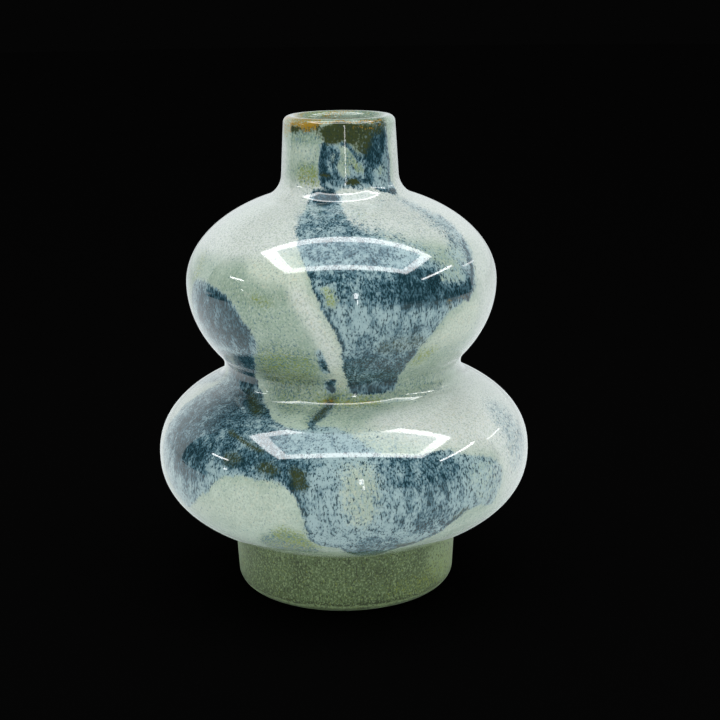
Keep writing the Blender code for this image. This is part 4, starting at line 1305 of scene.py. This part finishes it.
def foot_glaze(name, paints):
    """Satin green glaze, finely mottled and bare at the standing ring, with a pale line along the foot's
    edge that is partly thin glaze and partly painted highlight, and paler sides that are partly painted
    sheen.
    """
    material, tree, shader = new_material(name)
    flow = carried(tree, "flow", "Vector")
    layer = {name: carried(tree, name) for name in ("pool", "cream", "moss")}
    cloud = placed(tree, "Glaze grain", flow=flow, width=5.0, length=6.0, seed=7.0)[0]
    mottle = placed(tree, "Glaze grain", flow=flow, width=0.6, length=0.7, seed=19.0)[0]
    shade = scaled(tree, layer["pool"], 0.85, scaled(tree, cloud, 0.3))
    green = mixed(tree, shade, rgba(paints.foot_green), rgba(paints.foot_dark))
    # Pale glaze where the cream layer lies; the foot's edge line and sides are partly painted highlight
    # and sheen
    green = mixed(tree, scaled(tree, layer["cream"], 0.8), green, rgba(paints.foot_light))
    pale = scaled(tree, layer["cream"], 0.55, 0.36)
    green = speckled(tree, green, rgba(paints.foot_light), pale, 23.0, strength=0.9, softness=0.2,
                     width=0.6, tall=0.75)
    green = speckled(tree, green, rgba(paints.foot_dark), 0.34, 37.0, strength=0.9, softness=0.18,
                     width=0.6, tall=0.8)
    green = speckled(tree, green, rgba(paints.moss), scaled(tree, layer["moss"], 0.4, 0.12), 43.0,
                     strength=0.8, softness=0.2, width=0.6, tall=0.7)
    bare = carried(tree, "bare")
    clay = speckled(tree, rgba(paints.clay), rgba(paints.clay_grit), 0.3, 59.0)
    lined = carried(tree, "lined")
    outside = mixed(tree, bare, green, clay)
    join(tree, mixed(tree, lined, outside, rgba(paints.lining)), shader.inputs["Base Color"])
    worn = eased(tree, bare, 0.0, 1.0, 0.42, 0.8)
    join(tree, scaled(tree, worn, eased(tree, lined, 0.0, 1.0, 1.0, 0.3)),
         shader.inputs["Roughness"])
    height = placed(tree, "Glaze surface", flow=flow, body=mottle, waves=0.02, pits=0.006)[0]
    raised(tree, shader, height)
    shader.inputs["IOR"].default_value = FOOT_IOR
    return material


# Pieces: each section of clay with its glaze, in place of its node in the frame

def make_piece(node, strips, walls, low, glaze):
    """Turn a section whose outside starts at the height low, and put it in its node's place."""
    section = turned(node + "_glazed", strips, walls.form, walls.run_at(low))
    lay_glaze(section, walls)
    section.piece.data.materials.append(glaze)
    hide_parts(node)
    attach(section.piece, BODY)


class TurnFoot(bpy.types.Operator):
    """Turn the foot and give it its satin green glaze"""

    bl_idname = "bud_vase.turn_foot"
    bl_label = "Turn foot"

    def execute(self, context):
        walls = Walls(context.scene.vase_form)
        glaze = foot_glaze("Foot glaze", context.scene.glaze_colours)
        make_piece("foot", foot_strips(walls), walls, walls.form.foot_edge_radius, glaze)
        return {"FINISHED"}


class TurnBulbs(bpy.types.Operator):
    """Turn the two bulbs and give them their runs of glaze"""

    bl_idname = "bud_vase.turn_bulbs"
    bl_label = "Turn bulbs"

    def execute(self, context):
        walls = Walls(context.scene.vase_form)
        bulbs = (("Lower bulb glaze", "lower_bulb", "foot", "waist", (0.35, 1.0)),
                 ("Upper bulb glaze", "upper_bulb", "waist", "neck", (0.0, 0.6)))
        for name, node, low_seam, high_seam, mint_share in bulbs:
            low, high = walls.seams[low_seam], walls.seams[high_seam]
            glaze = reactive_glaze(name, context.scene.glaze_colours, mint_share, 1.0)
            make_piece(node, bulb_strips(walls, low, high), walls, low, glaze)
        return {"FINISHED"}


class TurnNeck(bpy.types.Operator):
    """Turn the neck and give it its olive and ochre lip"""

    bl_idname = "bud_vase.turn_neck"
    bl_label = "Turn neck"

    def execute(self, context):
        walls = Walls(context.scene.vase_form)
        glaze = reactive_glaze("Neck glaze", context.scene.glaze_colours, (0.0, 0.5), 0.8)
        make_piece("neck", neck_strips(walls), walls, walls.seams["neck"], glaze)
        return {"FINISHED"}


# Studio: what lights the vase, what its glaze mirrors, and the camera. Directions are seen from
# inside the vase, in degrees round from the front and degrees over the horizon

MIRRORED_FROM = Vector((0.0, 0.0, 0.09))
CARD_DISTANCE = 1.2
# The overhead panel: its height over the lip, its left, front, right and back edges, and how far
# its face, the step around that and its bright rim lie inside those edges
PANEL_ABOVE = 0.72
PANEL_SPAN = (-0.63, -0.54, 0.83, 0.09)
PANEL_RINGS = ((0.26, 0.19, 0.26, 0.15), (0.16, 0.12, 0.16, 0.08), (0.0, 0.0, 0.0, 0.0))
# Beyond this glossy depth a mirror image is mirrored again, and this much of it is left
TWICE_MIRRORED, SECOND_IMAGE = 1.5, 0.35
FLOOR_RADIUS, FLOOR_TURN = 4.0, 5
# Where the mirrored floor turns from its front tone to the surround, from front to back
FLOOR_BRIGHTENS = (-0.18, 0.08)
Bar = namedtuple("Bar", "name start end width glow")
BARS = (
    Bar("left_bar", (-92, 21), (-78, 22.8), 1.4, 12.0),
    Bar("right_bar", (64.5, 27.1), (99.8, 27.7), 1.6, 12.0),
    Bar("far_right_bar", (108, 21), (124, 16), 1.2, 4.0),
    Bar("low_front_strip", (11.5, 1), (11.5, 9), 1.1, 10.0),
    Bar("front_spot", (10.5, 11), (10.5, 20), 2.8, 10.0),
    Bar("left_spark", (-76, 11), (-74, 11), 1.5, 12.0),
)
# The dim card in front: its sides and top as directions, its steps, and its foot's height
FRONT_SIDES, FRONT_TOP, FRONT_STEPS, FRONT_FOOT = (-113, 107), 50, 80, 0.076
# The inner back corners of the dim floor at the left and at the right
FLOOR_CORNERS = ((-0.65, 0.28), (0.85, 0.26))
# Between these heights the mirrored room grows dark
LOW_SKY, HIGH_SKY = 22, 45
SENSOR_WIDTH, NEAREST_SEEN = 36.0, 0.01


def direction(azimuth, elevation):
    """The way that an angle round from the front and an angle over the horizon point."""
    turn, rise = math.radians(azimuth), math.radians(elevation)
    return Vector((math.sin(turn) * math.cos(rise), -math.cos(turn) * math.cos(rise), math.sin(rise)))


def staged(name, points, faces, material):
    """A mesh of the studio, which isn't part of the vase."""
    mesh = bpy.data.meshes.new(name)
    mesh.from_pydata([tuple(point) for point in points], [], faces)
    mesh.materials.append(material)
    thing = bpy.data.objects.new(name, mesh)
    bpy.context.scene.collection.objects.link(thing)
    return thing


def only_mirrored(thing):
    """Let only the glaze's reflections see a thing."""
    for ray in ("camera", "diffuse", "transmission", "volume_scatter", "shadow"):
        setattr(thing, "visible_" + ray, False)


def glowing(name, glow, tint=(1.0, 1.0, 1.0)):
    """A material that gives off light, dimmer where a mirror image is mirrored once more."""
    material = bpy.data.materials.new(name)
    material.use_nodes = True
    tree = material.node_tree
    tree.nodes.clear()
    again = calc(tree, "GREATER_THAN", add(tree, "ShaderNodeLightPath").outputs["Glossy Depth"],
                 TWICE_MIRRORED)
    strength = scaled(tree, scaled(tree, again, SECOND_IMAGE - 1.0, 1.0), glow)
    light = add(tree, "ShaderNodeEmission", rgba(tint), strength)
    end = tree.nodes.new("ShaderNodeOutputMaterial")
    join(tree, light.outputs[0], end.inputs["Surface"])
    return material


def mirrored_bar(bar):
    """A narrow bright bar between two directions."""
    (a0, e0), (a1, e1) = bar.start, bar.end
    side = Vector((e0 - e1, a1 - a0)).normalized() * bar.width / 2
    spots = ((a0 + side.x, e0 + side.y), (a1 + side.x, e1 + side.y),
             (a1 - side.x, e1 - side.y), (a0 - side.x, e0 - side.y))
    points = [MIRRORED_FROM + CARD_DISTANCE * direction(*spot) for spot in spots]
    only_mirrored(staged(bar.name, points, [(0, 1, 2, 3)], glowing(bar.name, bar.glow)))


def dim_front(settings):
    """The dim room in front and at the sides: an upright curved card, and the floor that it hides."""
    sides = np.linspace(*FRONT_SIDES, FRONT_STEPS + 1)
    top = MIRRORED_FROM.z + CARD_DISTANCE * math.tan(math.radians(FRONT_TOP))
    feet = [max(0.0, FRONT_FOOT * math.cos(math.radians(side))) for side in sides]
    points = [CARD_DISTANCE * direction(side, 0) + Vector((0, 0, height))
              for heights in (feet, [top] * len(sides)) for side, height in zip(sides, heights)]
    count = len(sides)
    faces = [(k, k + 1, count + k + 1, count + k) for k in range(count - 1)]
    dim = glowing("Dim front", settings.front_glow)
    only_mirrored(staged("dim_front", points, faces, dim))
    for k, (x, y) in enumerate(FLOOR_CORNERS):
        far = math.copysign(CARD_DISTANCE, x)
        points = [(x, -CARD_DISTANCE, MM), (far, -CARD_DISTANCE, MM), (far, y, MM), (x, y, MM)]
        only_mirrored(staged("dim_floor_%d" % k, points, [(0, 1, 2, 3)], dim))


def overhead_panel(settings):
    """The lamp's bright panel with its brighter rim, as the glaze mirrors it."""
    top = top_of("neck") + PANEL_ABOVE
    left, front, right, back = PANEL_SPAN
    glows = (settings.panel_glow, (settings.panel_glow + settings.rim_glow) / 4, settings.rim_glow)
    tints = (settings.panel_tint, settings.panel_tint, (1.0, 1.0, 1.0))
    for k, (ring, glow, tint) in enumerate(zip(PANEL_RINGS, glows, tints)):
        x0, y0, x1, y1 = left + ring[0], front + ring[1], right - ring[2], back - ring[3]
        height = top + k * MM
        points = [(x0, y0, height), (x1, y0, height), (x1, y1, height), (x0, y1, height)]
        material = glowing("Panel %d" % k, glow, tint)
        only_mirrored(staged("panel_%d" % k, points, [(0, 1, 2, 3)], material))
    light = bpy.data.lights.new("overhead_lamp", "AREA")
    light.shape = "RECTANGLE"
    light.size, light.size_y = right - left, back - front
    light.energy = settings.lamp_power
    lamp = bpy.data.objects.new("overhead_lamp", light)
    lamp.location = ((left + right) / 2, (front + back) / 2, top)
    lamp.visible_glossy = False
    lamp.visible_camera = False
    bpy.context.scene.collection.objects.link(lamp)


def floor(settings):
    """A floor that is pale to the glaze and dark to the camera."""
    material = bpy.data.materials.new("Floor")
    material.use_nodes = True
    tree = material.node_tree
    shader = tree.nodes["Principled BSDF"]
    rays = add(tree, "ShaderNodeLightPath").outputs
    place = add(tree, "ShaderNodeNewGeometry").outputs["Position"]
    back = eased(tree, add(tree, "ShaderNodeSeparateXYZ", place).outputs["Y"], *FLOOR_BRIGHTENS)
    mirrored = mixed(tree, back, rgba(settings.mirrored_floor), rgba(settings.surround))
    pale = mixed(tree, rays["Is Glossy Ray"], rgba((settings.floor_tone,) * 3), mirrored)
    seen = mixed(tree, rays["Is Camera Ray"], pale, rgba(settings.backdrop))
    join(tree, seen, shader.inputs["Base Color"])
    shader.inputs["Roughness"].default_value = 1.0
    shader.inputs["Specular IOR Level"].default_value = 0.0
    around = [FLOOR_RADIUS * direction(turn, 0) for turn in range(0, 360, FLOOR_TURN)]
    staged("floor", around, [tuple(range(len(around)))], material)


def world(settings):
    """Even light on the vase, a pale surround in its glaze and a dark backdrop for the camera."""
    surround = bpy.data.worlds.new("Studio")
    surround.use_nodes = True
    tree = surround.node_tree
    rays = add(tree, "ShaderNodeLightPath").outputs
    way = add(tree, "ShaderNodeTexCoord").outputs["Generated"]
    rise = add(tree, "ShaderNodeSeparateXYZ", way).outputs["Z"]
    low, high = (math.sin(math.radians(turn)) for turn in (LOW_SKY, HIGH_SKY))
    glow = eased(tree, rise, low, high, 1.0, settings.overhead_share)
    room = mixed(tree, glow, (0.0, 0.0, 0.0, 1.0), rgba(settings.surround))
    mirrored = calc(tree, "MAXIMUM", rays["Is Glossy Ray"], rays["Is Transmission Ray"])
    light = mixed(tree, mirrored, rgba((settings.world_light,) * 3), room)
    sky = mixed(tree, rays["Is Camera Ray"], light, rgba(settings.backdrop))
    join(tree, sky, tree.nodes["Background"].inputs["Color"])
    bpy.context.scene.world = surround


def camera(settings):
    """The photo's camera, a little right of the vase and above it."""
    pitch, roll = settings.pitch, settings.roll
    forward = Vector((0.0, math.cos(pitch), -math.sin(pitch)))
    level_up = Vector((0.0, math.sin(pitch), math.cos(pitch)))
    right = math.cos(roll) * Vector((1.0, 0.0, 0.0)) + math.sin(roll) * level_up
    up = math.cos(roll) * level_up - math.sin(roll) * Vector((1.0, 0.0, 0.0))
    aim = Vector((0.0, 0.0, settings.aim_height)) + settings.side_step * right
    place = aim - settings.distance * forward
    lens = bpy.data.cameras.new("camera")
    lens.sensor_width = SENSOR_WIDTH
    lens.lens = settings.focal_length
    lens.clip_start = NEAREST_SEEN
    thing = bpy.data.objects.new("camera", lens)
    turn = Matrix((right, up, -forward)).transposed().to_4x4()
    thing.matrix_world = Matrix.Translation(place) @ turn
    bpy.context.scene.collection.objects.link(thing)
    bpy.context.scene.camera = thing


class SetUpStudio(bpy.types.Operator):
    """Set up the floor, the lamp, what the glaze mirrors, and the camera"""

    bl_idname = "bud_vase.set_up_studio"
    bl_label = "Set up studio"

    def execute(self, context):
        settings = context.scene.vase_studio
        floor(settings)
        world(settings)
        overhead_panel(settings)
        dim_front(settings)
        for bar in BARS:
            mirrored_bar(bar)
        camera(settings)
        context.scene.view_settings.view_transform = "Standard"
        return {"FINISHED"}


class BudVasePanel(bpy.types.Panel):
    """Lists the steps that make the vase, with its sizes and colours"""

    bl_idname = "VIEW3D_PT_bud_vase"
    bl_label = "Bud Vase"
    bl_space_type = "VIEW_3D"
    bl_region_type = "UI"
    bl_category = "Bud Vase"

    def draw(self, context):
        layout = self.layout
        for step in STEPS:
            layout.operator(step.bl_idname)
        for holder in HOLDERS:
            settings = getattr(context.scene, holder)
            box = layout.box()
            box.label(text=type(settings).__doc__)
            for name in settings.__annotations__:
                box.prop(settings, name)


STEPS = (TurnFoot, TurnBulbs, TurnNeck, SetUpStudio)
HOLDERS = {"vase_form": VaseForm, "glaze_colours": GlazeColours, "vase_studio": StudioSettings}
CLASSES = (*HOLDERS.values(), *STEPS, BudVasePanel)


def register():
    """Add the vase's properties, steps and panel."""
    for cls in CLASSES:
        bpy.utils.register_class(cls)
    for holder, group in HOLDERS.items():
        setattr(bpy.types.Scene, holder, PointerProperty(type=group))


def unregister():
    """Take them away again."""
    for holder in HOLDERS:
        delattr(bpy.types.Scene, holder)
    for cls in reversed(CLASSES):
        bpy.utils.unregister_class(cls)


def main():
    """Make the vase and its studio."""
    register()
    bpy.ops.bud_vase.turn_foot()
    bpy.ops.bud_vase.turn_bulbs()
    bpy.ops.bud_vase.turn_neck()
    bpy.ops.bud_vase.set_up_studio()


if __name__ == "__main__":
    main()
